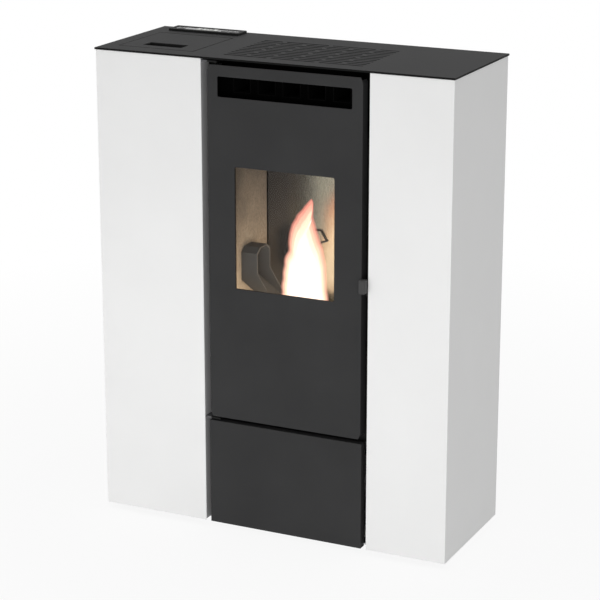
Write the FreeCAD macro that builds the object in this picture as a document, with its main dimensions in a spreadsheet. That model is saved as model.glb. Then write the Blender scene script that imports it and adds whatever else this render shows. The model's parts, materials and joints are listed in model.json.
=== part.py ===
import FreeCAD, Part
import Sketcher
import os
from FreeCAD import Placement, Rotation, Vector

# A slim pellet stove: X to the right, Y to the back, Z up, millimetres, floor at Z = 0.

doc = FreeCAD.newDocument("pellet_stove")
sheet = doc.addObject("Spreadsheet::Sheet", "sizes")
made = {}
names = []


class Size:
    # a number together with the sheet formula it comes from

    def __init__(self, value, text):
        self.value = float(value)
        self.text = text

    def __add__(self, other):
        other = as_size(other)
        return Size(self.value + other.value, "(%s + %s)" % (self.text, other.text))

    def __sub__(self, other):
        other = as_size(other)
        return Size(self.value - other.value, "(%s - %s)" % (self.text, other.text))

    def __mul__(self, other):
        other = as_size(other)
        return Size(self.value * other.value, "(%s * %s)" % (self.text, other.text))

    def __truediv__(self, other):
        other = as_size(other)
        return Size(self.value / other.value, "(%s / %s)" % (self.text, other.text))

    def __radd__(self, other):
        return as_size(other) + self

    def __rsub__(self, other):
        return as_size(other) - self

    def __rmul__(self, other):
        return as_size(other) * self

    def __neg__(self):
        return as_size(0) - self


def as_size(value):
    if isinstance(value, Size):
        return value
    return Size(value, "%g" % value)


def size(name, value):
    row = len(names) + 1
    names.append(name)
    sheet.set("A%d" % row, name)
    sheet.set("B%d" % row, str(value))
    sheet.setAlias("B%d" % row, name)
    return Size(value, "sizes." + name)


def place(thing, x, y, z, turn=None):
    spot = [as_size(x), as_size(y), as_size(z)]
    thing.Placement = Placement(Vector(spot[0].value, spot[1].value, spot[2].value), turn or Rotation())
    for axis, amount in zip("xyz", spot):
        thing.setExpression("Placement.Base." + axis, amount.text)


def sign(value):
    if abs(value) < 1e-6:
        return 0
    return 1 if value > 0 else -1


def pin_point(sketch, edge, end, x, y):
    # fixes one point of the sketch by two distances from the sketch's origin
    for kind, amount in (("DistanceX", x), ("DistanceY", y)):
        number = sketch.addConstraint(Sketcher.Constraint(kind, -1, 1, edge, end, amount.value))
        sketch.setExpression("Constraints[%d]" % number, amount.text)


def draw_circle(sketch, x, y, radius):
    circle = Part.Circle(Vector(x.value, y.value, 0), Vector(0, 0, 1), radius.value)
    edge = sketch.addGeometry(circle, False)
    pin_point(sketch, edge, 3, x, y)
    number = sketch.addConstraint(Sketcher.Constraint("Radius", edge, radius.value))
    sketch.setExpression("Constraints[%d]" % number, radius.text)


def draw_polygon(sketch, corners):
    # corners are (x, y) or, for a rounded square corner, (x, y, radius)
    count = len(corners)
    steps = []
    for i, corner in enumerate(corners):
        x, y = corner[0], corner[1]
        if len(corner) == 2:
            steps.append(((x, y), None))
            continue
        radius = corner[2]
        before = corners[i - 1]
        after = corners[(i + 1) % count]
        in_x, in_y = sign(x.value - before[0].value), sign(y.value - before[1].value)
        out_x, out_y = sign(after[0].value - x.value), sign(after[1].value - y.value)
        enter = (x - radius * in_x, y - radius * in_y)
        leave = (x + radius * out_x, y + radius * out_y)
        middle = (enter[0] + radius * out_x, enter[1] + radius * out_y)
        left_turn = in_x * out_y - in_y * out_x > 0
        steps.append((enter, None))
        steps.append((leave, (middle, radius, left_turn)))
    edges = []
    for i, (spot, bend) in enumerate(steps):
        last = steps[i - 1][0]
        start = Vector(last[0].value, last[1].value, 0)
        stop = Vector(spot[0].value, spot[1].value, 0)
        if bend is None:
            edges.append((sketch.addGeometry(Part.LineSegment(start, stop), False), 1, 2))
            continue
        middle, radius, left_turn = bend
        centre = Vector(middle[0].value, middle[1].value, 0)
        if not left_turn:
            start, stop = stop, start
        first = (start - centre)
        second = (stop - centre)
        circle = Part.Circle(centre, Vector(0, 0, 1), radius.value)
        low = circle.parameter(centre + first)
        high = circle.parameter(centre + second)
        arc = sketch.addGeometry(Part.ArcOfCircle(circle, low, high), False)
        edges.append((arc, 1, 2) if left_turn else (arc, 2, 1))
    for i, (spot, bend) in enumerate(steps):
        edge, head, tail = edges[i]
        following = edges[(i + 1) % len(edges)]
        sketch.addConstraint(Sketcher.Constraint("Coincident", edge, tail, following[0], following[1]))
        pin_point(sketch, edge, tail, spot[0], spot[1])
        if bend is not None:
            number = sketch.addConstraint(Sketcher.Constraint("DistanceX", -1, 1, edge, 3,
                                                              bend[0][0].value))
            sketch.setExpression("Constraints[%d]" % number, bend[0][0].text)


def box(x0, x1, y0, y1, radius=None):
    # a rectangle as a loop, with rounded corners if a radius is given
    loop = [(x0, y0), (x1, y0), (x1, y1), (x0, y1)]
    if radius is not None:
        loop = [corner + (radius,) for corner in loop]
    return loop


def ring(x, y, radius):
    return ("circle", x, y, radius)


planes = {"XY": "xyz", "XZ": "xzy", "YZ": "yzx"}


class Piece:
    # one sub-part: a body with its own origin, drawn in the coordinates of the whole stove

    def __init__(self, label, x=0, y=0, z=0):
        self.body = doc.addObject("PartDesign::Body", label)
        self.body.Label = label
        self.at = {"x": as_size(x), "y": as_size(y), "z": as_size(z)}
        place(self.body, x, y, z)

    def profile(self, plane, loops, level):
        first, second, third = planes[plane]
        support = [part for part in self.body.Origin.OriginFeatures if part.Role == plane + "_Plane"][0]
        sketch = self.body.newObject("Sketcher::SketchObject", self.body.Name + "_sketch")
        sketch.AttachmentSupport = [(support, "")]
        sketch.MapMode = "FlatFace"
        lift = as_size(level) - self.at[third]
        if plane == "XZ":
            lift = -lift
        sketch.AttachmentOffset = Placement(Vector(0, 0, lift.value), Rotation())
        sketch.setExpression("AttachmentOffset.Base.z", lift.text)
        for loop in loops:
            if loop[0] == "circle":
                x, y = as_size(loop[1]) - self.at[first], as_size(loop[2]) - self.at[second]
                draw_circle(sketch, x, y, as_size(loop[3]))
                continue
            corners = []
            for corner in loop:
                x, y = as_size(corner[0]) - self.at[first], as_size(corner[1]) - self.at[second]
                corners.append((x, y) + tuple(as_size(extra) for extra in corner[2:]))
            draw_polygon(sketch, corners)
        return sketch

    def pad(self, plane, loops, start, end):
        sketch = self.profile(plane, loops, end if plane == "XZ" else start)
        feature = self.body.newObject("PartDesign::Pad", self.body.Name + "_pad")
        feature.Profile = sketch
        feature.setExpression("Length", (as_size(end) - start).text)
        return feature

    def pocket(self, plane, loops, start, end):
        sketch = self.profile(plane, loops, start if plane == "XZ" else end)
        feature = self.body.newObject("PartDesign::Pocket", self.body.Name + "_pocket")
        feature.Profile = sketch
        feature.setExpression("Length", (as_size(end) - start).text)
        return feature

    def spin(self, plane, loops, axis):
        # a turned form about the vertical or level axis of its own sketch
        sketch = self.profile(plane, loops, self.at[planes[plane][-1]])
        feature = self.body.newObject("PartDesign::Revolution", self.body.Name + "_turned")
        feature.Profile = sketch
        feature.ReferenceAxis = (sketch, [axis])
        feature.Angle = 360
        return feature

    def row(self, features, axis, step, count):
        # repeats features along an axis of their sketch
        feature = self.body.newObject("PartDesign::LinearPattern", self.body.Name + "_row")
        feature.Originals = features
        feature.Direction = (features[0].Profile[0], [axis])
        feature.Mode = "Spacing"
        feature.setExpression("Offset", as_size(step).text)
        feature.Occurrences = count
        self.body.Tip = feature
        return feature

    def circle_of(self, features, axis, count):
        feature = self.body.newObject("PartDesign::PolarPattern", self.body.Name + "_circle")
        feature.Originals = features
        feature.Axis = (features[0].Profile[0], [axis])
        feature.Angle = 360
        feature.Occurrences = count
        self.body.Tip = feature
        return feature


def plate(label, plane, loops, start, end):
    # a sub-part cut from one sheet or bar: a profile with a thickness
    piece = Piece(label, **{planes[plane][-1]: start})
    piece.pad(plane, loops, start, end)
    return piece


def keep(label, parts):
    # a finished sub-part: one body, or several that belong together
    bodies = [part.body if isinstance(part, Piece) else part for part in parts]
    if len(bodies) == 1:
        made[label] = bodies[0]
        return
    group = doc.addObject("Part::Compound", label)
    group.Label = label
    group.Links = bodies
    made[label] = group


# whole stove
width = size("width", 800)
depth = size("depth", 300)
height = size("height", 1020)
overhang = size("overhang", 2)
foot_gap = size("foot_gap", 12)
top_gauge = size("top_gauge", 4)
case_gauge = size("case_gauge", 1.5)
rear_gauge = size("rear_gauge", 1.5)
base_gauge = size("base_gauge", 3)
partition_gauge = size("partition_gauge", 2)
case_return = size("case_return", 22)
column_width = size("column_width", 374)
column_offset = size("column_offset", 34)
running_gap = size("running_gap", 0.05)

plate_front = -depth / 2
plate_back = depth / 2
body_left = overhang - width / 2
body_right = width / 2 - overhang
body_front = plate_front + overhang
body_back = plate_back - overhang
case_top = height - top_gauge
base_top = foot_gap + base_gauge
inner_front = body_front + case_gauge
inner_back = body_back - rear_gauge
column_left = column_offset - column_width / 2
column_right = column_offset + column_width / 2
middle = column_offset

# fire door and lower cover
door_side_gap = size("door_side_gap", 14.5)
cover_height = size("cover_height", 231)
door_top_gap = size("door_top_gap", 11)
door_gauge = size("door_gauge", 2.5)
door_flange = size("door_flange", 24)
corner_cut = size("corner_cut", 5)
corner_rise = size("corner_rise", 11)
slot_side = size("slot_side", 23)
slot_height = size("slot_height", 42)
slot_drop = size("slot_drop", 23)
slot_corner = size("slot_corner", 3)
window_side = size("window_side", 60.5)
window_share = size("window_share", 0.3430851)
window_drop_share = size("window_drop_share", 0.275266)
window_corner = size("window_corner", 4)
cover_side_gap = size("cover_side_gap", 11.5)
cover_gap = size("cover_gap", 10)
cover_gauge = size("cover_gauge", 2)
cover_flange = size("cover_flange", 18)

door_top = case_top - door_top_gap
cover_top = foot_gap + cover_height
door_bottom = cover_top + cover_gap
door_height = door_top - door_bottom
door_left = column_left + door_side_gap
door_right = column_right - door_side_gap
slot_width = door_right - door_left - slot_side * 2
window_width = door_right - door_left - window_side * 2
skin_back = body_front + door_gauge
slot_top = door_top - slot_drop
slot_bottom = slot_top - slot_height
window_top = door_top - door_height * window_drop_share
window_bottom = window_top - door_height * window_share
cover_back = body_front + cover_gauge

# firebox
bulkhead_set = size("bulkhead_set", 36)
bulkhead_gauge = size("bulkhead_gauge", 3)
opening_side = size("opening_side", 17)
opening_sill = size("opening_sill", 37)
opening_head = size("opening_head", 14)
chamber_side = size("chamber_side", 3)
chamber_depth = size("chamber_depth", 149)
chamber_rise = size("chamber_rise", 14)
floor_drop = size("floor_drop", 5)
side_liner = size("side_liner", 15)
back_liner = size("back_liner", 18)
shell_gauge = size("shell_gauge", 3)

bulkhead_front = body_front + bulkhead_set
bulkhead_back = bulkhead_front + bulkhead_gauge
bulkhead_bottom = cover_top - 8
opening_width = window_width + opening_side * 2
chamber_width = opening_width + chamber_side * 2
opening_bottom = door_bottom + opening_sill
opening_top = window_top + opening_head
floor_top = opening_bottom - floor_drop
floor_bottom = floor_top - shell_gauge
roof_bottom = opening_top + chamber_rise
roof_top = roof_bottom + shell_gauge
wall_left = middle - chamber_width / 2
wall_right = middle + chamber_width / 2
shell_left = wall_left - side_liner
shell_right = wall_right + side_liner
wall_back = bulkhead_back + chamber_depth
shell_back = wall_back + back_liner
shell_outer = shell_back + shell_gauge

# burn pot
pot_width = size("pot_width", 92)
pot_depth = size("pot_depth", 76)
pot_height = size("pot_height", 72)
pot_wall = size("pot_wall", 5)
pot_rim = size("pot_rim", 8)
rim_gauge = size("rim_gauge", 6)
pot_above = size("pot_above", 24)
pot_inset = size("pot_inset", 59)
pot_gap = size("pot_gap", 1)
pot_hole = size("pot_hole", 5)
shelf_drop = size("shelf_drop", 88)
shelf_gauge = size("shelf_gauge", 4)

shelf_top = window_bottom - shelf_drop
pot_middle = bulkhead_back + pot_inset
pot_top = shelf_top + rim_gauge + pot_above
pot_bottom = pot_top - pot_height
rim_left = middle - pot_width / 2 - pot_rim

# pellet feed
auger_rise = size("auger_rise", 35)
tube_radius = size("tube_radius", 24)
tube_wall = size("tube_wall", 2.4)
screw_gap = size("screw_gap", 1.6)
screw_shaft = size("screw_shaft", 9)
screw_pitch = size("screw_pitch", 60)
screw_gauge = size("screw_gauge", 3)
gearbox_length = size("gearbox_length", 48)
gearbox_gap = size("gearbox_gap", 3)
gearbox_half = size("gearbox_half", 34)
motor_radius = size("motor_radius", 22)
motor_length = size("motor_length", 76)
shaft_grip = size("shaft_grip", 26)
inlet_start = size("inlet_start", 14)
inlet_stop = size("inlet_stop", 66)
inlet_width = size("inlet_width", 60)
inlet_wall = size("inlet_wall", 2)
inlet_rise = size("inlet_rise", 47)
funnel_height = size("funnel_height", 138)
bin_gap = size("bin_gap", 10)
bin_wall = size("bin_wall", 1.5)
chute_width = size("chute_width", 62)
hood_slope = size("hood_slope", 15)
hood_drop = size("hood_drop", 11)
chute_share = size("chute_share", 0.5)
chute_wall = size("chute_wall", 3)
chute_gap = size("chute_gap", 4)

auger_level = window_bottom + auger_rise
auger_middle = pot_middle
gearbox_left = body_left + case_gauge + gearbox_gap
tube_left = gearbox_left + gearbox_length
bin_left = body_left + bin_gap
bin_right = column_left - partition_gauge - bin_gap
inlet_top = auger_level + inlet_rise
funnel_top = inlet_top + funnel_height
chute_tip = rim_left - chute_gap
chute_reach = (chute_tip - wall_left) * chute_share

# hopper lid
bezel_length = size("bezel_length", 44)
bezel_back = size("bezel_back", 5)
lid_side_left = size("lid_side_left", 32)
lid_side_right = size("lid_side_right", 40)
lid_panel_gap = size("lid_panel_gap", 30)
lid_front = size("lid_front", 44)
lid_gap = size("lid_gap", 1.2)
lid_tail_gap = size("lid_tail_gap", 2.2)
lid_tail = size("lid_tail", 20)
pivot_drop = size("pivot_drop", 4)
pivot_radius = size("pivot_radius", 3)
pin_reach = size("pin_reach", 14)
ledge = size("ledge", 8)
ledge_gauge = size("ledge_gauge", 3)
seal_height = size("seal_height", 3)
seal_gap = size("seal_gap", 0.4)
cup_share = size("cup_share", 0.526)
cup_length = size("cup_length", 34)
cup_inset = size("cup_inset", 26)
cup_depth = size("cup_depth", 20)
cup_wall = size("cup_wall", 1.5)

lid_left = body_left + lid_side_left
lid_right = column_left - lid_side_right
lid_middle = (lid_left + lid_right) / 2
lid_near = plate_front + lid_front
bezel_far = plate_back - bezel_back
bezel_near = bezel_far - bezel_length
lid_far = bezel_near - lid_panel_gap
mouth_left = lid_left - lid_gap
mouth_right = lid_right + lid_gap
mouth_near = lid_near - lid_gap
mouth_far = lid_far + lid_tail_gap
pivot_y = lid_far - lid_tail
pivot_z = case_top - pivot_drop
bin_near = mouth_near - 22
bin_far = mouth_far + 20
cup_left = lid_middle - (lid_right - lid_left) * cup_share / 2
cup_right = lid_middle + (lid_right - lid_left) * cup_share / 2
cup_near = lid_near + cup_inset
cup_far = cup_near + cup_length

# control panel
bezel_side = size("bezel_side", 2)
bezel_height = size("bezel_height", 5)
bezel_rim = size("bezel_rim", 7)
tub_depth = size("tub_depth", 18)
tub_wall = size("tub_wall", 2)
fascia_gauge = size("fascia_gauge", 2)
fascia_drop = size("fascia_drop", 1.5)
display_share = size("display_share", 0.33)
display_length = size("display_length", 16)
display_gauge = size("display_gauge", 1)
key_share = size("key_share", 0.1)
key_length = size("key_length", 10)
key_stand = size("key_stand", 1.5)
key_gap = size("key_gap", 0.25)
key_stem = size("key_stem", 6)
key_spread = size("key_spread", 0.41)
key_step = size("key_step", 0.132)

bezel_left = lid_left + bezel_side
bezel_right = lid_right - bezel_side
bezel_top = height + bezel_height
tub_left = bezel_left + bezel_rim
tub_right = bezel_right - bezel_rim
tub_near = bezel_near + bezel_rim
tub_far = bezel_far - bezel_rim
fascia_top = bezel_top - fascia_drop
panel_middle = (bezel_near + bezel_far) / 2
fascia_width = tub_right - tub_left - tub_wall * 2
key_width = fascia_width * key_share
display_width = fascia_width * display_share


def base_plate():
    left = body_left + case_gauge
    right = body_right - case_gauge
    near = body_front + cover_flange + 6
    back = inner_back - case_gauge
    holes = [ring(x, y, foot_stud + running_gap) for x, y in foot_spots]
    keep("base_plate", [plate("base_plate", "XY", [box(left, right, near, back)] + holes, foot_gap,
                              base_top)])


foot_radius = size("foot_radius", 20)
foot_pad = size("foot_pad", 7)
foot_nut = size("foot_nut", 9)
foot_stud = size("foot_stud", 5)
foot_inset = size("foot_inset", 46)
stud_rise = size("stud_rise", 14)
foot_spots = []
for foot_x in (body_left + foot_inset, body_right - foot_inset):
    for foot_y in (body_front + foot_inset, body_back - foot_inset):
        foot_spots.append((foot_x, foot_y))


def levelling_feet():
    feet = []
    top = base_top + stud_rise
    for x, y in foot_spots:
        foot = Piece("foot", x, y, 0)
        outline = [(x, 0), (x + foot_radius, 0), (x + foot_radius, foot_pad), (x + foot_stud, foot_pad),
                   (x + foot_stud, top), (x, top)]
        foot.spin("XZ", [outline], "V_Axis")
        across, along = foot_nut / 2, foot_nut * 0.866
        nut = [(x + foot_nut, y), (x + across, y + along), (x - across, y + along),
               (x - foot_nut, y), (x - across, y - along), (x + across, y - along)]
        foot.pad("XY", [nut], foot_pad, foot_gap)
        feet.append(foot)
    keep("levelling_feet", feet)


def casings():
    back = inner_back
    left = [(column_left, body_front), (column_left, inner_front), (body_left + case_gauge, inner_front),
            (body_left + case_gauge, back - case_gauge), (body_left + case_return, back - case_gauge),
            (body_left + case_return, back), (body_left, back), (body_left, body_front)]
    keep("left_casing", [plate("left_casing", "XY", [left], foot_gap, case_top)])
    right = [(column_right, body_front), (body_right, body_front), (body_right, back),
             (body_right - case_return, back), (body_right - case_return, back - case_gauge),
             (body_right - case_gauge, back - case_gauge), (body_right - case_gauge, inner_front),
             (column_right, inner_front)]
    keep("right_casing", [plate("right_casing", "XY", [right], foot_gap, case_top)])


def partitions():
    outline = box(inner_front, inner_back, base_top, case_top)
    hole = ring(auger_middle, auger_level, tube_radius)
    left = plate("left_partition", "YZ", [outline, hole], column_left - partition_gauge, column_left)
    keep("left_partition", [left])
    right = plate("right_partition", "YZ", [outline], column_right, column_right + partition_gauge)
    outline = box(keeper_left, column_right, latch_level - 27, latch_level - 11)
    keeper = plate("latch_keeper", "XZ", [outline], keeper_near, keeper_far)
    keep("right_partition", [right, keeper])


vent_length = size("vent_length", 90)
vent_height = size("vent_height", 6)
vent_pitch = size("vent_pitch", 16)
vent_inset = size("vent_inset", 37)
vent_rise = size("vent_rise", 58)
flue_radius = size("flue_radius", 40)
flue_wall = size("flue_wall", 2)
flue_reach = size("flue_reach", 12)
flue_clear = size("flue_clear", 14)
flue_level = size("flue_level", 128)
flue_inset = size("flue_inset", 61)
air_radius = size("air_radius", 25)
air_wall = size("air_wall", 2)
air_reach = size("air_reach", 8)
air_clear = size("air_clear", 12)
air_inset = size("air_inset", 73)
air_rise = size("air_rise", 60)
flue_x = shell_right - flue_inset
air_x = shell_left + air_inset
air_level = floor_top + air_rise


def rear_panel():
    outline = box(body_left, body_right, foot_gap, case_top)
    holes = [ring(flue_x, flue_level, flue_radius + flue_clear),
             ring(air_x, air_level, air_radius + air_clear),
             box(socket_left, socket_right, socket_low, socket_high)]
    panel = plate("rear_panel", "XZ", [outline] + holes, inner_back, body_back)
    left, low = column_left + vent_inset, foot_gap + vent_rise
    vent = box(left, left + vent_length, low, low + vent_height)
    cut = panel.pocket("XZ", [vent], inner_back, body_back)
    panel.row([cut], "V_Axis", vent_pitch, 6)
    keep("rear_panel", [panel])


grille_front = size("grille_front", 42.5)
grille_side = size("grille_side", 33)
grille_bridge = size("grille_bridge", 10)
grille_cut = size("grille_cut", 5)
grille_back = size("grille_back", 74)


def top_plate():
    outline = box(plate_left, plate_right, plate_front, plate_back)
    mouth = box(mouth_left, mouth_right, mouth_near, mouth_far)
    panel = box(tub_left, tub_right, tub_near, tub_far)
    top = plate("top_plate", "XY", [outline, mouth, panel], case_top, height)
    grille_pitch = (depth - grille_front - grille_back) / 11
    x = column_left + grille_side
    grille_slot = (column_width - grille_side * 2 - grille_bridge * 2) / 3
    y = plate_front + grille_front - grille_cut / 2
    period = grille_slot + grille_bridge
    half = (grille_slot - grille_bridge) / 2
    whole = [box(x + period * i, x + period * i + grille_slot, y, y + grille_cut) for i in range(3)]
    cut = top.pocket("XY", whole, case_top, height)
    top.row([cut], "V_Axis", grille_pitch * 2, 6)
    y = y + grille_pitch
    ends = [box(x, x + half, y, y + grille_cut)]
    for i in range(2):
        start = x + half + grille_bridge + period * i
        ends.append(box(start, start + grille_slot, y, y + grille_cut))
    start = x + half + grille_bridge + period * 2
    ends.append(box(start, start + half, y, y + grille_cut))
    cut = top.pocket("XY", ends, case_top, height)
    top.row([cut], "V_Axis", grille_pitch * 2, 6)
    keep("top_plate", [top])


plate_left = -width / 2
plate_right = width / 2


def hopper_mouth():
    left = bin_left + bin_wall
    right = bin_right - bin_wall
    near = bin_near + bin_wall
    far = pivot_y - 11
    top = case_top - seal_height - seal_gap
    inner_left = lid_left + ledge
    inner_right = lid_right - ledge
    inner_near = lid_near + ledge
    outline = [(left, near), (right, near), (right, far), (inner_right, far), (inner_right, inner_near),
               (inner_left, inner_near), (inner_left, far), (left, far)]
    keep("hopper_collar", [plate("hopper_collar", "XY", [outline], top - ledge_gauge, top)])
    outline = [(lid_left, lid_near), (lid_right, lid_near), (lid_right, far), (inner_right, far),
               (inner_right, inner_near), (inner_left, inner_near), (inner_left, far), (lid_left, far)]
    keep("lid_seal", [plate("lid_seal", "XY", [outline], top, top + seal_height)])
    hinges = []
    for start, stop, outer in ((mouth_left - 4, mouth_left - 1, 1), (mouth_right + 1, mouth_right + 4, -1)):
        bracket = box(pivot_y - 9, pivot_y + 9, case_top - 16, case_top)
        hinge = plate("lid_bracket", "YZ", [bracket], start, stop)
        pin = [ring(pivot_y, pivot_z, pivot_radius)]
        if outer == 1:
            hinge.pad("YZ", pin, start, stop + pin_reach)
        else:
            hinge.pad("YZ", pin, start - pin_reach, stop)
        hinges.append(hinge)
    keep("lid_hinge", hinges)


def hopper_lid():
    hole = box(cup_left, cup_right, cup_near, cup_far, 3)
    lid = plate("hopper_lid", "XY", [box(lid_left, lid_right, lid_near, lid_far), hole], case_top, height)
    ear = [(pivot_y - 8, case_top), (pivot_y - 8, pivot_z - 6), (pivot_y + 8, pivot_z - 6),
           (pivot_y + 8, case_top)]
    bore = ring(pivot_y, pivot_z, pivot_radius + running_gap)
    lid.pad("YZ", [ear, bore], mouth_left + 8, mouth_left + 11)
    lid.pad("YZ", [ear, bore], mouth_right - 11, mouth_right - 8)
    keep("hopper_lid", [lid])
    cup = plate("lid_cup", "XY", [box(cup_left, cup_right, cup_near, cup_far, 3)], height - cup_depth,
                height - 0.5)
    inside = box(cup_left + cup_wall, cup_right - cup_wall, cup_near + cup_wall, cup_far - cup_wall, 2)
    cup.pocket("XY", [inside], height - cup_depth + cup_wall, height - 0.5)
    keep("lid_cup", [cup])


def hopper():
    outer = box(bin_left, bin_right, bin_near, bin_far)
    inner = box(bin_left + bin_wall, bin_right - bin_wall, bin_near + bin_wall, bin_far - bin_wall)
    keep("hopper_bin", [plate("hopper_bin", "XY", [outer, inner], funnel_top, case_top)])
    shapes = []
    for wall, label in ((as_size(0), "funnel_outside"), (inlet_wall, "funnel_inside")):
        near_side = [(inlet_near + wall, inlet_top), (inlet_far - wall, inlet_top),
                     (bin_far - wall, funnel_top),
                     (bin_near + wall, funnel_top)]
        shape = plate(label, "YZ", [near_side], bin_left + wall, bin_right - wall)
        left_cut = [(bin_left, inlet_top), (inlet_left + wall, inlet_top), (bin_left + wall, funnel_top),
                    (bin_left, funnel_top)]
        right_cut = [(inlet_right - wall, inlet_top), (bin_right, inlet_top), (bin_right, funnel_top),
                     (bin_right - wall, funnel_top)]
        if label == "funnel_outside":
            left_cut, right_cut = left_cut[:-1], right_cut[:-1]
        shape.pocket("XZ", [left_cut], bin_near, bin_far)
        shape.pocket("XZ", [right_cut], bin_near, bin_far)
        shapes.append(shape.body)
    funnel = doc.addObject("Part::Cut", "hopper_funnel")
    funnel.Label = "hopper_funnel"
    funnel.Base, funnel.Tool = shapes
    keep("hopper_funnel", [funnel])


inlet_left = tube_left + inlet_start
inlet_right = column_left - partition_gauge - inlet_stop
inlet_near = auger_middle - inlet_width / 2
inlet_far = auger_middle + inlet_width / 2


def auger():
    housing = plate("auger_housing", "YZ", [ring(auger_middle, auger_level, tube_radius)], tube_left,
                    wall_left)
    outer = box(inlet_left, inlet_right, inlet_near, inlet_far)
    inner = box(inlet_left + inlet_wall, inlet_right - inlet_wall, inlet_near + inlet_wall,
                inlet_far - inlet_wall)
    housing.pad("XY", [outer], auger_level, inlet_top)
    housing.pocket("XY", [inner], auger_level, inlet_top)
    bore = ring(auger_middle, auger_level, tube_radius - tube_wall)
    housing.pocket("YZ", [bore], tube_left, wall_left)
    keep("auger_housing", [housing])
    low, high = auger_level - gearbox_half, auger_level + gearbox_half
    gearbox = box(auger_middle - gearbox_half, auger_middle + gearbox_half, low, high)
    motor = plate("auger_gearmotor", "YZ", [gearbox], gearbox_left, tube_left)
    can = ring(gearbox_left + gearbox_length / 2, auger_middle, motor_radius)
    motor.pad("XY", [can], low - motor_length, low)
    bore = ring(auger_middle, auger_level, screw_shaft + running_gap)
    motor.pocket("YZ", [bore], tube_left - shaft_grip, tube_left)
    keep("auger_gearmotor", [motor])


def auger_screw():
    start = tube_left - shaft_grip + 2
    length = wall_left - 4 - start
    screw = Piece("auger_screw", start, auger_middle, auger_level)
    screw.body.Placement = Placement(screw.body.Placement.Base, Rotation(Vector(0, 1, 0), 90))
    screw.at = {"x": as_size(0), "y": as_size(0), "z": as_size(0)}
    reach = tube_radius - tube_wall - screw_gap
    screw.spin("XZ", [box(as_size(0), screw_shaft, as_size(0), length)], "V_Axis")
    flight = screw.profile("XZ",
                           [box(screw_shaft - 1, reach, shaft_grip + 2, shaft_grip + 2 + screw_gauge)], 0)
    helix = screw.body.newObject("PartDesign::AdditiveHelix", "auger_flight")
    helix.Profile = flight
    helix.ReferenceAxis = (flight, ["V_Axis"])
    helix.Mode = "pitch-height-angle"
    helix.setExpression("Pitch", screw_pitch.text)
    helix.setExpression("Height", (length - shaft_grip - 10).text)
    keep("auger_screw", [screw])


def pellet_chute():
    top = auger_level + tube_radius + 12
    near = auger_middle - chute_width / 2
    far = auger_middle + chute_width / 2
    lip = pot_top + 8
    foot = auger_level - tube_radius - 12
    split = auger_level - 18
    mouth = wall_left + chute_reach
    inner = wall_left + chute_wall
    trough = [(wall_left, split), (wall_left, foot), (chute_tip - 3, lip), (chute_tip, lip + 8),
              (mouth, split)]
    chute = plate("pellet_chute", "XZ", [trough], near, far)
    chute.pad("YZ", [hood(near, far, split, top)], wall_left, mouth)
    slide = [(inner, split), (inner, foot + 5), (chute_tip - 3, lip + 5), (chute_tip + 12, lip + 5),
             (chute_tip + 12, split)]
    chute.pocket("XZ", [slide], near + chute_wall, far - chute_wall)
    hollow = hood(near + chute_wall, far - chute_wall, split, top - chute_wall)
    chute.pocket("YZ", [hollow], inner, mouth)
    chute.pocket("YZ", [ring(auger_middle, auger_level, tube_radius - tube_wall)], wall_left, inner)
    keep("pellet_chute", [chute])


def hood(near, far, low, high):
    return [(near, low), (far, low), (far, high - hood_drop), (far - hood_slope, high),
            (near + hood_slope, high), (near, high - hood_drop)]


air_duct_width = size("air_duct_width", 40)
air_duct_height = size("air_duct_height", 34)
air_duct_wall = size("air_duct_wall", 1.5)
air_duct_share = size("air_duct_share", 0.187)
duct_level = (slot_top + slot_bottom) / 2
duct_spots = [middle + slot_width * air_duct_share * way for way in (-2, -1, 0, 1, 2)]
duct_plate_far = shell_outer + 4


def air_duct(x, inset=0):
    half = air_duct_width / 2 - inset
    rise = air_duct_height / 2 - inset
    return box(x - half, x + half, duct_level - rise, duct_level + rise)


def bulkhead():
    outline = box(column_left, column_right, bulkhead_bottom, case_top)
    opening = box(middle - opening_width / 2, middle + opening_width / 2, opening_bottom, opening_top)
    holes = [air_duct(x) for x in duct_spots]
    keep("bulkhead", [plate("bulkhead", "XZ", [outline, opening] + holes, bulkhead_front, bulkhead_back)])
    outline = box(column_left, column_right, slot_bottom - 36, case_top)
    rear = plate("exchanger_plate", "XZ", [outline] + holes, shell_outer, duct_plate_far)
    ducts = []
    for x in duct_spots:
        loops = [air_duct(x), air_duct(x, air_duct_wall)]
        ducts.append(plate("exchanger_duct", "XZ", loops, bulkhead_front, duct_plate_far))
    keep("heat_exchanger", [rear] + ducts)


smoke_width = size("smoke_width", 90)
smoke_depth = size("smoke_depth", 34)
smoke_hole = size("smoke_hole", 30)
igniter_radius = size("igniter_radius", 6)
igniter_level = pot_bottom + 22
smoke_left = flue_x - smoke_width / 2
smoke_right = flue_x + smoke_width / 2


def firebox():
    side = box(bulkhead_back, shell_outer, floor_bottom, roof_top)
    feed = ring(auger_middle, auger_level, tube_radius)
    left = plate("firebox_left", "YZ", [side, feed], shell_left - shell_gauge, shell_left)
    right = plate("firebox_right", "YZ", [side], shell_right, shell_right + shell_gauge)
    back = box(shell_left, shell_right, floor_bottom, roof_top)
    rear = plate("firebox_rear", "XZ", [back] + back_openings(), shell_back, shell_outer)
    floor = box(shell_left, shell_right, bulkhead_back, shell_back)
    bottom = plate("firebox_floor", "XY", [floor], floor_bottom, floor_top)
    roof = plate("firebox_roof", "XY", [floor], roof_bottom, roof_top)
    keep("firebox_shell", [left, right, rear, bottom, roof])
    side = box(bulkhead_back, wall_back, floor_top, roof_bottom)
    left = plate("left_liner", "YZ", [side, feed], shell_left, wall_left)
    right = plate("right_liner", "YZ", [side], wall_right, shell_right)
    keep("side_liners", [left, right])
    back = box(shell_left, shell_right, floor_top, roof_bottom)
    keep("back_liner", [plate("back_liner", "XZ", [back] + back_openings(), wall_back, shell_back)])


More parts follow.
